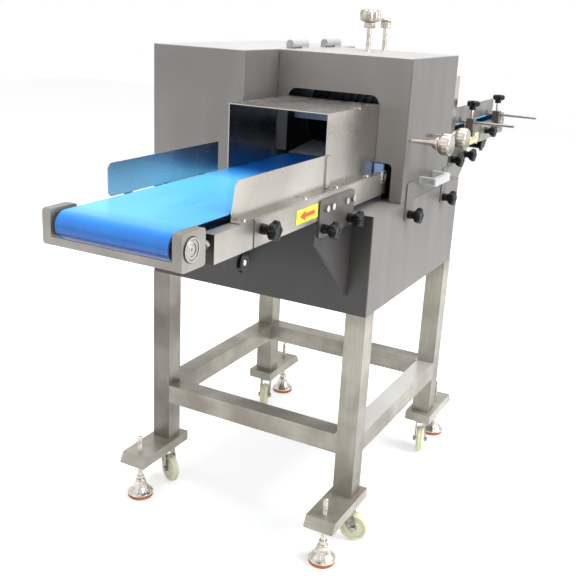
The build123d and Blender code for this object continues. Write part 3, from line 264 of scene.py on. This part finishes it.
def beyond(f, axis, level, side, soft=0.6):
    """1 on the far side of a plane across the x, y or z axis at a level in millimetres, 0 on the near one."""
    place = (level - overall_middle[axis]) * millimetre
    half = soft * millimetre
    past = f.spread(f.along(axis), place - half, place + half)
    return past if side > 0 else 1.0 - past


# Planes in millimetres that part the painted light and shade; they lie just off the sheets' faces

hood_inside_left, hood_inside_right = -41.5, 292.0
hood_inside_front, hood_inside_back, hood_ceiling = -137.6, 180.6, 1162.0
hood_outside_front, hood_outside_right = -136.0, 293.0
tower_wall_left, tower_wall_right, tower_wall_back = -46.5, -44.0, -143.0
machine_top = 1165.0
base_outside_front, base_outside_right = -301.0, 296.0
tube_outside_front, tube_outside_right = -302.2, 296.2
stretcher_top = 290.2
nose_rail_front = -861.4


def housing_painted_shade(f):
    """Painted shade on the insides of the hood and tower, on the hood's low front and right side and on the
    tower's narrow wall by the outfeed."""
    inside = (beyond(f, 0, hood_inside_right, -1) * beyond(f, 0, hood_inside_left, 1)
              * beyond(f, 1, hood_inside_front, 1) * beyond(f, 1, hood_inside_back, -1)
              * beyond(f, 2, hood_ceiling, -1))
    beside = (beyond(f, 0, tower_wall_left, 1) * beyond(f, 0, tower_wall_right, -1)
              * beyond(f, 1, tower_wall_back, -1))
    low_front = (beyond(f, 1, hood_outside_front, -1) * (1.0 - f.spread(f.along(2), 0.86, 1.06))
                 * beyond(f, 0, 30.0, 1))
    right = beyond(f, 0, hood_outside_right, 1) * (0.52 - 0.12 * f.spread(f.along(2), 0.84, 1.0))
    return (inside * 0.9).larger(beside * 0.48).larger(low_front * 0.22).larger(right)


def painted_top_light(f):
    """Painted light: the tops of the hood and tower are drawn bright, more so towards the left."""
    return (0.32 + 0.14 * beyond(f, 0, -50.0, -1, 20.0)) * beyond(f, 2, machine_top, 1)


def base_painted_shade(f):
    """Painted shade: the base's front plate is drawn darker than its right one, most of all under the belt.
    """
    front = beyond(f, 1, base_outside_front, -1) * (0.80 + 0.16 * f.spread(f.along(2), 0.68, 0.80))
    return front.larger(0.3 * beyond(f, 0, base_outside_right, 1))


def legs_dim(f):
    """Painted shade on the front left leg, where the belt shades it; the right sides are drawn darker low
    down.
    """
    shaded = 0.4 * beyond(f, 0, -200.0, -1) * beyond(f, 1, tube_outside_front, -1)
    low = 0.3 * beyond(f, 0, tube_outside_right, 1) * (1.0 - 0.6 * f.spread(f.along(2), 0.35, 0.55))
    return shaded.larger(low)


def stretchers_painted_shade(f):
    """Painted shade on the right stretcher's outer side."""
    return 0.28 * beyond(f, 0, tube_outside_right, 1)


def stretchers_painted_light(f):
    """Painted light on the right stretcher's top."""
    return 0.65 * beyond(f, 2, stretcher_top, 1) * beyond(f, 0, 240.0, 1)


def rail_ends_painted_shade(f):
    """Painted shade on the end plates of the outfeed's nose rails, where the yokes shade them."""
    return 0.9 * beyond(f, 1, nose_rail_front, -1)


def brushed_steel(name, light, dark, grain_along, metal=0.8, roughness=0.30, line_depth=0.10, pale=None,
                  dim=None):
    """Ground sheet or tube: long hair lines along one direction, handling marks and clouded tone. Where
    pale(finish) or dim(finish) is above 0, the tone is drawn towards a painted light or a painted shade."""
    f = Finish(name)
    scale = [520.0, 520.0, 520.0]
    for axis in grain_along:
        scale[axis] = 9.0
    lines = f.noise(1.0, 3.0, f.stretched(tuple(scale)))
    clouds = f.spread(f.noise(9.0, 3.0), 0.35, 0.68)
    smears = f.spread(f.noise(24.0, 2.0), 0.45, 0.75)
    tone = f.between(clouds, dark, light)
    tone = f.between(f.spread(lines, 0.35, 0.65) * 0.35, tone, dark)
    # pale paints light and dim paints shade into the tube's tone
    if pale:
        tone = f.between(pale(f), tone, painted_light_tone)
    if dim:
        tone = f.between(dim(f), tone, painted_tube_shade)
    f.set(Base_Color=tone, Metallic=metal,
          Roughness=roughness + 0.08 * lines + 0.06 * smears - 0.05 * clouds)
    f.set(Normal=f.bump(lines, line_depth, 0.0001))
    return f.material


def mirror_sheet(name, light, dark):
    """Sheet with a mill mirror finish: it shows what stands before it, softened by hair lines, smears
    and the faint waves of thin sheet."""
    f = Finish(name)
    lines = f.noise(1.0, 3.0, f.stretched((520.0, 9.0, 520.0)))
    smears = f.spread(f.noise(14.0, 1.0), 0.35, 0.75)
    waves = f.noise(7.0, 0.0)
    tone = f.between(f.spread(f.noise(6.0, 0.0), 0.35, 0.68), dark, light)
    f.set(Base_Color=tone, Metallic=1.0, Roughness=0.25 + 0.02 * lines + 0.04 * smears)
    f.set(Normal=f.bump(waves, 0.03, 0.002))
    return f.material


def polished_steel(name, light, dark, roughness=0.16):
    """Turned or cast and polished metal with faint swirls."""
    f = Finish(name)
    swirls = f.noise(60.0, 4.0)
    fine = f.noise(700.0, 2.0)
    f.set(Base_Color=f.between(f.spread(swirls, 0.35, 0.65), dark, light), Metallic=1.0,
          Roughness=roughness + 0.10 * swirls)
    f.set(Normal=f.bump(fine, 0.04, 0.0001))
    return f.material


def ringed_steel(name, y, z, grooves):
    """Turned cap: bright metal with painted shade in dark rings where the radius round its axis lies near a
    groove.
    """
    f = Finish(name)
    across = f.along(1) - (y - overall_middle[1]) * millimetre
    above = f.along(2) - z * millimetre
    radius = (across * across + above * above) ** 0.5
    turning = f.noise(1.0, 2.0, f.stretched((40.0, 900.0, 900.0)))
    # Painted shade in the grooves: dark rings by radius
    dark = 0.0
    for middle, half in grooves:
        dark = (1.0 - f.spread(radius.apart(middle * millimetre), 0.7 * half * millimetre,
                               1.3 * half * millimetre)).larger(dark)
    tone = f.between(turning, colour(184, 180, 175), colour(156, 152, 147))
    f.set(Base_Color=f.between(dark, tone, colour(38, 36, 36)), Metallic=0.6,
          Roughness=0.2 + 0.2 * turning)
    f.set(Normal=f.bump(turning, 0.05, 0.0001))
    return f.material


def cast_head_metal(name, axis_height):
    """Cast and buffed metal of the sideways screws: pale above the screw's axis, with a painted reflection in
    dark brown below it.
    """
    f = Finish(name)
    swirls = f.noise(50.0, 3.0)
    height = axis_height * millimetre
    # Painted reflection: the head is drawn dark brown below the screw's axis
    under = 1.0 - f.spread(f.along(2) + 0.004 * swirls, height - 0.012, height + 0.006)
    tone = f.between(swirls, colour(220, 215, 207), colour(192, 185, 174))
    f.set(Base_Color=f.between(under * 0.85, tone, colour(108, 98, 82)), Metallic=1.0,
          Roughness=0.22 + 0.08 * swirls)
    f.set(Normal=f.bump(swirls, 0.03, 0.0002))
    return f.material


def moulded_plastic(name, light, dark, roughness=0.42, grain=900.0, depth=0.10, shine=0.5):
    """Injection-moulded plastic with a fine spark-eroded grain."""
    f = Finish(name)
    clouds = f.noise(30.0, 3.0)
    fine = f.noise(grain, 2.0)
    f.set(Base_Color=f.between(f.spread(clouds, 0.35, 0.65), dark, light),
          Roughness=roughness + 0.12 * clouds, Specular_IOR_Level=shine)
    f.set(Normal=f.bump(fine, depth, 0.00015))
    return f.material


def belt_finish(name):
    """Blue belt sheet with a fine cloth print and faint scuffs along the run, with a painted sheen where the
    run is open and painted shade below the outfeed's nose. The ends of each change are in metres in the
    frame."""
    f = Finish(name)
    scuffs = f.spread(f.noise(1.0, 4.0, f.stretched((90.0, 5.0, 60.0))), 0.45, 0.75)
    cloth = f.noise(1.0, 2.0, f.stretched((900.0, 900.0, 900.0)))
    clouds = f.noise(7.0, 2.0)
    tone = f.between(f.spread(clouds, 0.3, 0.7), colour(6, 118, 226), colour(14, 132, 238))
    # Painted light: a pale sheen on the outfeed's open run and the infeed's far run, less of it towards the
    # right
    outfeed_painted_sheen = f.spread(f.along(1), -0.935, -0.87) * (1.0 - f.spread(f.along(1), -0.50, -0.36))
    painted_sheen_run = outfeed_painted_sheen.larger(f.spread(f.along(1), 0.44, 0.52))
    sheen_less_on_right = 0.60 - 0.24 * f.spread(f.along(0), 0.02, 0.17)
    tone = f.between(painted_sheen_run * sheen_less_on_right, tone, colour(112, 214, 252))
    # Painted light: the infeed's far run is drawn paler still
    tone = f.between(0.5 * f.spread(f.along(1), 0.50, 0.56), tone, colour(120, 190, 246))
    # Painted shade below the outfeed's nose
    painted_shade_below_nose = (1.0 - f.spread(f.along(2), 0.874, 0.902)) * (1.0 - f.spread(f.along(1), -0.84, -0.80))
    tone = f.between(0.95 * painted_shade_below_nose, tone, colour(6, 66, 150))
    f.set(Base_Color=f.between(scuffs * 0.10, tone, colour(90, 185, 250)),
          Roughness=0.30 + 0.12 * scuffs, Specular_IOR_Level=0.6)
    f.set(Normal=f.bump(cloth, 0.06, 0.00015))
    return f.material


def arrow_finish(name, proud_from):
    """Yellow plate whose raised arrow is red: the colour changes where the face stands proud. The
    infeed's plate is faded."""
    f = Finish(name)
    x = f.along(0)
    wear = f.noise(80.0, 4.0)
    plate = f.between(f.spread(wear, 0.4, 0.7), colour(222, 212, 40), colour(238, 226, 76))
    arrow = f.between(f.spread(wear, 0.4, 0.7), colour(206, 66, 44), colour(222, 88, 62))
    faded = 0.5 * f.spread(f.along(1), 0.1, 0.2)
    f.set(Base_Color=f.between(faded, f.between(x > proud_from, plate, arrow), colour(224, 222, 205)),
          Roughness=0.42 + 0.1 * wear)
    f.set(Normal=f.bump(wear, 0.05, 0.0002))
    return f.material


def pale_nylon(name):
    """Cream-green cast nylon, a little see-deep, with a dirty film near the floor."""
    f = Finish(name)
    clouds = f.noise(40.0, 4.0)
    film = f.spread(clouds, 0.5, 0.8) * (1.0 - f.spread(f.along(2), 0.0, 0.05))
    base = f.between(clouds, colour(222, 224, 188), colour(236, 236, 206))
    f.set(Base_Color=f.between(film * 0.5, base, colour(150, 146, 120)), Roughness=0.30 + 0.15 * clouds,
          Subsurface_Weight=0.15, Subsurface_Radius=(0.010, 0.010, 0.006), Subsurface_Scale=0.5)
    f.set(Normal=f.bump(clouds, 0.05, 0.0003))
    return f.material


housing = blasted_steel("blasted_housing", colour(142, 139, 137), colour(130, 127, 124), dim=housing_painted_shade,
                        pale=painted_top_light)
base_steel = blasted_steel("blasted_base", colour(134, 131, 129), colour(122, 119, 117), dim=base_painted_shade)
stand_up = brushed_steel("stand_tube_upright", colour(178, 173, 161), colour(134, 129, 117), (2,), 0.55,
                         0.32, dim=legs_dim)
level_tones = colour(186, 181, 169), colour(142, 136, 124)
stand_flat = brushed_steel("stand_tube_level", *level_tones, (0, 1), 0.55, 0.32)
stand_side = brushed_steel("stand_stretcher", *level_tones, (0, 1), 0.55, 0.32, pale=stretchers_painted_light,
                           dim=stretchers_painted_shade)
sheet = brushed_steel("conveyor_sheet", colour(172, 168, 162), colour(140, 136, 130), (1,), 0.7, 0.36, 0.02)
rails = brushed_steel("conveyor_rail", colour(182, 178, 172), colour(148, 144, 138), (1,), 0.7, 0.32, 0.02,
                      dim=rail_ends_painted_shade)
mirror = mirror_sheet("mirror_sheet", colour(202, 197, 191), colour(180, 175, 168))
guide_steel = brushed_steel("slide_guide_steel", colour(152, 149, 147), colour(126, 123, 119), (1,), 0.7,
                            0.3, 0.05)
clamp_steel = brushed_steel("clamp_block", colour(128, 121, 110), colour(96, 90, 80), (1,), 0.8, 0.3)
bracket = blasted_steel("bracket_plate", colour(88, 84, 82), colour(70, 66, 64), 0.45, 0.36)
bright = polished_steel("bright_metal", colour(226, 220, 212), colour(184, 177, 168))
warm_bright = polished_steel("warm_cast_metal", colour(212, 206, 196), colour(168, 159, 145), 0.24)
side_cast = cast_head_metal("side_screw_metal", 984.0)
zinc = polished_steel("zinc_plate", colour(176, 174, 170), colour(120, 118, 114), 0.28)
ground = polished_steel("ground_knife", colour(110, 110, 112), colour(76, 76, 80), 0.14)
roller_steel = brushed_steel("turned_roller", colour(206, 204, 200), colour(150, 148, 144), (1,), 1.0, 0.16)
# Painted shade: the knife shaft, feed roller and cassette frame inside the hood get a near-black steel; the
# scraper rings use it too
inner_steel = brushed_steel("inner_steel", colour(58, 57, 57), colour(38, 37, 37), (1,), 0.9, 0.3)
belt = belt_finish("belt_sheet")
black = moulded_plastic("black_knob", colour(12, 12, 14), colour(6, 6, 8), 0.26, shine=0.25)
white = moulded_plastic("white_plastic", colour(226, 229, 232), colour(212, 216, 222), 0.4)
pale_blue = moulded_plastic("pale_blue_block", colour(150, 176, 222), colour(132, 160, 212), 0.3)
handle_grey = moulded_plastic("handle_coat", colour(196, 197, 196), colour(184, 185, 184), 0.38, 1500.0, 0.05)
nylon = pale_nylon("wheel_nylon")
pad_rubber = moulded_plastic("pad_rubber", colour(206, 122, 62), colour(176, 96, 44), 0.5, 400.0, 0.2)
arrow_x = (246.0 + 0.95 - overall_middle[0]) * millimetre
arrow_plate = arrow_finish("arrow_plate", arrow_x)

finishes = {
    housing: ["drive_tower", "tower_door", "hood"],
    base_steel: ["base_box"],
    stand_up: ["stand_legs"],
    stand_flat: ["foot_rails"],
    stand_side: ["stand_stretchers"],
    sheet: ["nose_yokes", "belt_beds"],
    rails: ["conveyor_rails"],
    mirror: ["tunnel_guards", "side_guides"],
    guide_steel: ["infeed_guide"],
    clamp_steel: ["guide_clamps"],
    bracket: ["hanger_plates"],
    bright: ["fasteners"],
    zinc: ["caster_plates"] + [n for n in nodes if n.startswith("caster_fork")],
    ground: ["circular_knives"],
    roller_steel: ["outfeed_drive_roller", "outfeed_nose_roller",
                   "infeed_drive_roller", "infeed_nose_roller"],
    inner_steel: ["knife_shaft", "feed_roller", "cassette_frame"],
    belt: ["outfeed_belt", "infeed_belt"],
    black: ["belt_scrapers"],
    white: ["feed_bed", "stripper_comb"],
    pale_blue: ["end_blocks"],
    handle_grey: ["hood_handle"],
    nylon: [n for n in nodes if n.startswith("caster_wheel")],
    arrow_plate: ["arrow_plates"],
}
for finish, names in finishes.items():
    for name in names:
        for slot in nodes[name].material_slots:
            slot.material = finish


# Black clamp knobs: five soft lobes, a tapered neck and a steel stud

knob_radius = 20.0
knob_neck_radius = 10.4
knob_seat = 0.3
knob_neck = 19.0
knob_head = 14.7
tee_rise = 25.0
tee_neck = 11.0


def five_lobes(angle, radius, height):
    """The radius is drawn in between the lobes by a rounded cosine, only near the rim of the head."""
    dip = (0.5 - 0.5 * np.cos(5 * angle)) ** 1.3
    return 1 - 0.30 * dip * blend(12.0, 16.5, radius) * blend(-4.0, 0.0, height)


def clamp_knob(node, seat, along, stud_reach, rise=0.0, neck=knob_neck):
    """Neck, head with rounded rims and a shallow cap dish; the stud goes back into its hole."""
    foot = knob_seat + rise
    under = foot + neck
    top = under + knob_head
    rows = rounded([(0.0, foot), (knob_neck_radius, foot), (knob_neck_radius - 1.4, under - 0.3 * neck),
                    (knob_radius - 5, under - 1), (knob_radius, under + 2.6), (knob_radius - 0.4, top - 3),
                    (knob_radius - 4, top), (9.0, top + 0.3), (8.2, top - 1.2), (0.0, top - 0.9)], 2.2, 6)
    head = turned(node + "_head", rows, seat, along, black,
                  lambda a, r, h: five_lobes(a, r, h - under), 120)
    stud = turned(node + "_stud", rounded([(0, -stud_reach), (3.4, -stud_reach), (4.0, -stud_reach + 1),
                                           (4.0, foot + 1.2), (0, foot + 1.2)], 0.3, 3), seat, along, bright,
                  columns=32)
    for piece in (head, stud):
        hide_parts(node)
        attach(piece, node)


lug_face = 300.0
rail_face = 246.0
hanger_face = 250.0
for node, y in (("latch_knob_front", -92.0), ("latch_knob_rear", 164.0)):
    clamp_knob(node, (lug_face, y, 804.0), (1, 0, 0), 2.8)
for node, y, z in (("outfeed_hanger_knob_outer", -458.0, 834.0), ("outfeed_hanger_knob_inner", -335.0, 834.0),
                   ("infeed_hanger_knob_outer", 487.0, 872.0), ("infeed_hanger_knob_inner", 364.0, 872.0)):
    clamp_knob(node, (hanger_face, y, z), (1, 0, 0), 14.0)
for node, y, z in (("outfeed_nose_knob", -705.0, 883.0), ("infeed_nose_knob", 703.0, 921.0)):
    clamp_knob(node, (rail_face, y, z), (1, 0, 0), 6.0)
for node, y in (("guide_knob_front", 520.0), ("guide_knob_rear", 800.0)):
    clamp_knob(node, (250.0, y, 974.0), (0, 0, 1), 5.0, tee_rise, tee_neck)


# Bright press screws: stud, lock collar and a cast head with broad lobes

collar_from = 56.0


def lobed_rim(count, depth, from_radius, to_radius, from_height):
    """Lobes near the rim of a head: the radius is drawn in by a rounded cosine round the axis."""
    def outline(angle, radius, height):
        dip = (0.5 - 0.5 * np.cos(count * angle)) ** 1.5
        near_rim = blend(from_radius, to_radius, radius)
        return 1 - depth * dip * near_rim * blend(from_height - 2, from_height, height)
    return outline


def eight_flats(angle, radius, height):
    """The factor that turns a circle into an octagon with eased corners."""
    middle = (angle % (np.pi / 4)) - np.pi / 8
    return 1 - 0.9 * (1 - np.cos(np.pi / 8) / np.cos(middle))


def press_screw(node, face, along, reach, studs, collar, head, lobes, cast):
    """Stud, collar and head of one screw; heights count from the housing's outer face."""
    near, far = studs
    pieces = [
        turned(node + "_stud", rounded([(0, -reach), (4.5, -reach), (near, -reach + 2), (near, 8),
                                        (far, collar_from), (far, 60), (0, 60)], 0.6, 4), face, along, bright,
               columns=48),
        turned(node + "_collar", rounded(collar, 0.8, 4), face, along, cast, eight_flats, 144),
        turned(node + "_head", rounded(head, 2.4, 6), face, along, cast, lobes, 192)]
    for piece in pieces:
        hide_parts(node)
        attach(piece, node)


top_collar = [(0, 55.5), (12, 55.5), (14.8, 56.5), (14.8, 68.5), (13, 70.5), (0, 70.5)]
top_head = [(0, 70), (15, 70), (20, 71.5), (25.6, 75), (26, 80), (26, 93), (23.5, 98), (15, 100), (0, 100.4)]
rear_collar = [(0, 55.5), (11.5, 55.5), (13.8, 56.5), (13.8, 69.5), (12, 71.2), (0, 71.2)]
rear_head = [(0, 71), (12.6, 71), (15, 72.6), (15, 76.5), (12, 79.2), (6, 79.9), (0, 80)]
side_collar = [(0, 55.5), (9, 55.5), (12.4, 56.2), (12.8, 62), (15.8, 62.6), (16, 69.5), (14.5, 71), (0, 71)]
side_head = [(0, 70.6), (15, 70.6), (19.5, 71.6), (24.4, 76), (25.4, 82), (25.4, 96), (23.6, 99.6),
             (19, 100.8), (0, 101)]
press_screw("top_screw_front", (97.0, 62.0, 1166.0), (0, 0, 1), 79.7, (5.6, 5.6), top_collar, top_head,
            lobed_rim(9, 0.09, 17.5, 23.0, 73.0), warm_bright)
press_screw("top_screw_rear", (97.0, 168.0, 1166.0), (0, 0, 1), 79.7, (5.6, 5.6), rear_collar, rear_head,
            lobed_rim(8, 0.10, 10.0, 14.0, 72.0), warm_bright)
for node, y in (("side_screw_front", -120.0), ("side_screw_rear", 0.0)):
    press_screw(node, (297.0, y, 984.0), (1, 0, 0), 56.7, (5.6, 7.6), side_collar, side_head,
                lobed_rim(8, 0.06, 19.0, 24.0, 74.0), side_cast)


# Bearing caps: turned rings round each roller's axle, and a dark cap with a bright middle on each end of
# the outfeed scraper's round bar

rail_faces = {"right": (246.0, (1, 0, 0)), "left": (-40.0, (-1, 0, 0))}
nose_cap = [(0, 0.8), (2.6, 0.8), (3.2, 1.6), (7.0, 1.6), (7.6, 0.5), (10.8, 0.5), (11.4, 2.2), (14.6, 2.2),
            (15.2, 1.0), (17.2, 1.0), (17.8, 2.5), (20.6, 2.5), (21.2, 0.8), (22.0, 0.6), (22.0, 0.0)]
inner_cap = [(0, 0.8), (4.6, 0.8), (5.4, 2.2), (9.0, 2.2), (9.8, 0.9), (12.4, 0.9), (13.2, 2.5), (16.2, 2.5),
             (17.0, 1.7), (17.0, 0.0)]
nose_grooves = ((1.2, 0.9), (10.9, 0.35), (17.4, 0.35), (21.4, 0.9))
inner_grooves = ((2.6, 2.0), (11.0, 1.2))


def bearing_cap(label, sides, y, z, rows, grooves):
    finish = ringed_steel(label, y, z, grooves)
    for side in sides:
        face, outward = rail_faces[side]
        cap = turned(label + "_" + side, rounded(rows, 0.4, 3), (face, y, z), outward, finish)
        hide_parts("bearing_caps")
        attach(cap, "frame")


bearing_cap("outfeed_nose_cap", ("left", "right"), -927.0, 894.0, nose_cap, nose_grooves)
bearing_cap("infeed_nose_cap", ("left", "right"), 889.0, 932.0, nose_cap, nose_grooves)
bearing_cap("outfeed_inner_cap", ("right",), -140.0, 894.0, inner_cap, inner_grooves)
bearing_cap("infeed_inner_cap", ("right",), 181.0, 932.0, inner_cap, inner_grooves)

scraper_ring = [(7.0, 3.0), (7.6, 3.6), (12.6, 3.6), (14.5, 2.6), (14.5, 0.05), (13.9, 0.05), (13.9, 2.2),
                (7.0, 3.0)]
scraper_boss = [(0, 2.4), (5.0, 2.4), (5.4, 3.0), (5.4, 4.2), (4.8, 4.8), (0, 4.8)]
scraper_y, scraper_z = -767.5, 835.0
for side, (face, outward) in rail_faces.items():
    for part, rows, finish, slot in (("ring", scraper_ring, inner_steel, "conveyor_steel"),
                                     ("boss", scraper_boss, bright, "fastener_bright")):
        piece = turned("scraper_" + part + "_" + side, rows, (face, scraper_y, scraper_z), outward, finish,
                       columns=64)
        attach(piece, "frame")


# Levelling feet: coloured pad, fluted bell, hexagon and a cut thread

foot_spots = {"front_left": (-272.0, -396.0), "front_right": (272.0, -396.0),
              "rear_left": (-272.0, 396.0), "rear_right": (272.0, 396.0)}
thread_pitch = 1.75


def flutes(angle, radius, height):
    """Sixteen soft flutes down the bell, fading out towards its neck and rim."""
    dip = 0.5 - 0.5 * np.cos(16 * angle)
    return 1 - 0.035 * dip * blend(14, 22, radius) * (1 - blend(31, 33.5, radius))


def thread(angle, radius, height):
    """The radius is drawn in by a triangle wave that climbs one pitch with each turn."""
    return 1 - 0.09 * np.abs(((height / thread_pitch - angle / (2 * np.pi)) % 1) * 2 - 1)


foot_pad = [(0, 0), (31, 0), (33, 2.5), (33, 8), (30, 9.2), (0, 9.2)]
foot_bell = [(0, 9), (32, 9), (34, 11), (33.5, 14), (28, 19), (20, 28), (15.5, 38), (13.5, 46), (10.5, 51.2),
             (0, 51.2)]
foot_nut = [(0, 51), (10.3, 51), (10.9, 52), (10.9, 59), (10.3, 60), (0, 60)]
stud_from, thread_to, stud_top = 60.0, 172.5, 174.0


def levelling_foot(label, x, y):
    node = "levelling_foot_" + label
    at = (x, y, 0.0)
    upward = (0, 0, 1)
    pad = turned(node + "_pad", rounded(foot_pad, 1.2, 4), at, upward, pad_rubber, columns=96)
    bell = turned(node + "_bell", rounded(foot_bell, 2.0, 5), at, upward, bright, flutes, 192)
    nut = turned(node + "_nut", rounded(foot_nut, 0.5, 3), at, upward, bright, hexagon, 96, smooth=False)
    heights = np.arange(stud_from, thread_to, thread_pitch / 5)
    rows = np.vstack([[[0, stud_from]], np.column_stack([6.0 + 0 * heights, heights]),
                      [[4.8, stud_top], [0, stud_top]]])
    stud = turned(node + "_stud", rows, at, upward, bright, thread, 24)
    for piece in (pad, bell, nut, stud):
        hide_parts(node)
        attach(piece, node)


for label, (x, y) in foot_spots.items():
    levelling_foot(label, x, y)


# Camera where the photograph was taken from

camera_spot = (976.9, -1994.8, 1263.4)
camera_azimuth = 27.54
camera_tilt = -18.28
camera_roll = 2.907
focal_pixels = 851.66
photo_pixels = 576.0
sensor_width = 36.0


def photo_camera():
    """Right, up and forward directions from azimuth and tilt, then turned about the line of sight."""
    azimuth, tilt, roll = np.radians([camera_azimuth, camera_tilt, camera_roll])
    forward = np.array([-np.sin(azimuth) * np.cos(tilt), np.cos(azimuth) * np.cos(tilt), np.sin(tilt)])
    level = np.array([np.cos(azimuth), np.sin(azimuth), 0.0])
    upright = np.cross(level, forward)
    across = np.cos(roll) * level + np.sin(roll) * upright
    up = -np.sin(roll) * level + np.cos(roll) * upright
    data = bpy.data.cameras.new("photo_camera")
    data.sensor_width = sensor_width
    data.lens = focal_pixels / photo_pixels * sensor_width
    data.clip_start, data.clip_end = 0.05, 60.0
    camera = bpy.data.objects.new("photo_camera", data)
    bpy.context.collection.objects.link(camera)
    turn = Matrix((across, up, -forward)).transposed().to_4x4()
    camera.matrix_world = Matrix.Translation(Vector(placed(camera_spot))) @ turn
    bpy.context.scene.camera = camera


photo_camera()


# Soft studio: a pale surround, a broad lamp on the right, a weaker one in front and one overhead

def studio_lamp(name, spot, target, size, watts):
    data = bpy.data.lights.new(name, "AREA")
    data.shape = "DISK"
    data.size = size
    data.energy = watts
    lamp = bpy.data.objects.new(name, data)
    bpy.context.collection.objects.link(lamp)
    direction = Vector(target) - Vector(spot)
    lamp.location = spot
    lamp.rotation_mode = "QUATERNION"
    lamp.rotation_quaternion = direction.to_track_quat("-Z", "Y")


studio_lamp("side_lamp", (3.6, 0.3, 2.4), (0.1, 0.0, 0.8), 2.6, 116.0)
studio_lamp("top_lamp", (0.5, 0.2, 4.2), (0.0, 0.0, 0.9), 3.2, 150.0)
studio_lamp("front_lamp", (-1.4, -3.6, 2.0), (0.0, -0.1, 0.8), 2.6, 9.0)


def background_rays(tree):
    """1 for the rays that see the background, straight, in metal or through glass, and 0 for the rest."""
    path = tree.nodes.new("ShaderNodeLightPath")
    seen = path.outputs["Is Camera Ray"]
    for ray in ("Is Glossy Ray", "Is Transmission Ray"):
        either = tree.nodes.new("ShaderNodeMath")
        either.operation = "MAXIMUM"
        tree.links.new(seen, either.inputs[0])
        tree.links.new(path.outputs[ray], either.inputs[1])
        seen = either.outputs[0]
    return seen


def studio_world():
    """White to the camera and in metal; an even grey light with a darker lower half to everything else."""
    world = bpy.data.worlds.new("studio")
    bpy.context.scene.world = world
    world.use_nodes = True
    tree = world.node_tree
    tree.nodes.clear()
    background = background_rays(tree)
    place = tree.nodes.new("ShaderNodeTexCoord")
    split = tree.nodes.new("ShaderNodeSeparateXYZ")
    ramp = tree.nodes.new("ShaderNodeValToRGB")
    ramp.color_ramp.elements[0].position = 0.40
    ramp.color_ramp.elements[0].color = (0.13, 0.128, 0.125, 1)
    ramp.color_ramp.elements[1].position = 0.75
    ramp.color_ramp.elements[1].color = (0.66, 0.66, 0.66, 1)
    shift = tree.nodes.new("ShaderNodeMath")
    shift.operation = "MULTIPLY_ADD"
    shift.inputs[1].default_value = 0.5
    shift.inputs[2].default_value = 0.5
    around = tree.nodes.new("ShaderNodeBackground")
    seen = tree.nodes.new("ShaderNodeBackground")
    seen.inputs["Color"].default_value = (1, 1, 1, 1)
    mix = tree.nodes.new("ShaderNodeMixShader")
    output = tree.nodes.new("ShaderNodeOutputWorld")
    link = tree.links.new
    link(place.outputs["Generated"], split.inputs[0])
    link(split.outputs[2], shift.inputs[0])
    link(shift.outputs[0], ramp.inputs[0])
    link(ramp.outputs[0], around.inputs["Color"])
    link(background, mix.inputs[0])
    link(around.outputs[0], mix.inputs[1])
    link(seen.outputs[0], mix.inputs[2])
    link(mix.outputs[0], output.inputs["Surface"])


studio_world()


def pale_floor():
    """A wide floor that keeps the shadow and fades to the white surround for the camera."""
    mesh = bpy.data.meshes.new("studio_floor")
    mesh.from_pydata([(-9, -9, 0), (9, -9, 0), (9, 9, 0), (-9, 9, 0)], [], [(0, 1, 2, 3)])
    floor = bpy.data.objects.new("studio_floor", mesh)
    bpy.context.collection.objects.link(floor)
    material = bpy.data.materials.new("studio_floor")
    material.use_nodes = True
    tree = material.node_tree
    tree.nodes.clear()
    background = background_rays(tree)
    diffuse = tree.nodes.new("ShaderNodeBsdfDiffuse")
    diffuse.inputs["Color"].default_value = (0.80, 0.80, 0.80, 1)
    glow = tree.nodes.new("ShaderNodeEmission")
    strength = tree.nodes.new("ShaderNodeMath")
    strength.operation = "MULTIPLY"
    strength.inputs[1].default_value = 0.45
    add = tree.nodes.new("ShaderNodeAddShader")
    output = tree.nodes.new("ShaderNodeOutputMaterial")
    link = tree.links.new
    link(background, strength.inputs[0])
    link(strength.outputs[0], glow.inputs["Strength"])
    link(diffuse.outputs[0], add.inputs[0])
    link(glow.outputs[0], add.inputs[1])
    link(add.outputs[0], output.inputs["Surface"])
    mesh.materials.append(material)


pale_floor()
bpy.context.scene.view_settings.view_transform = "Standard"
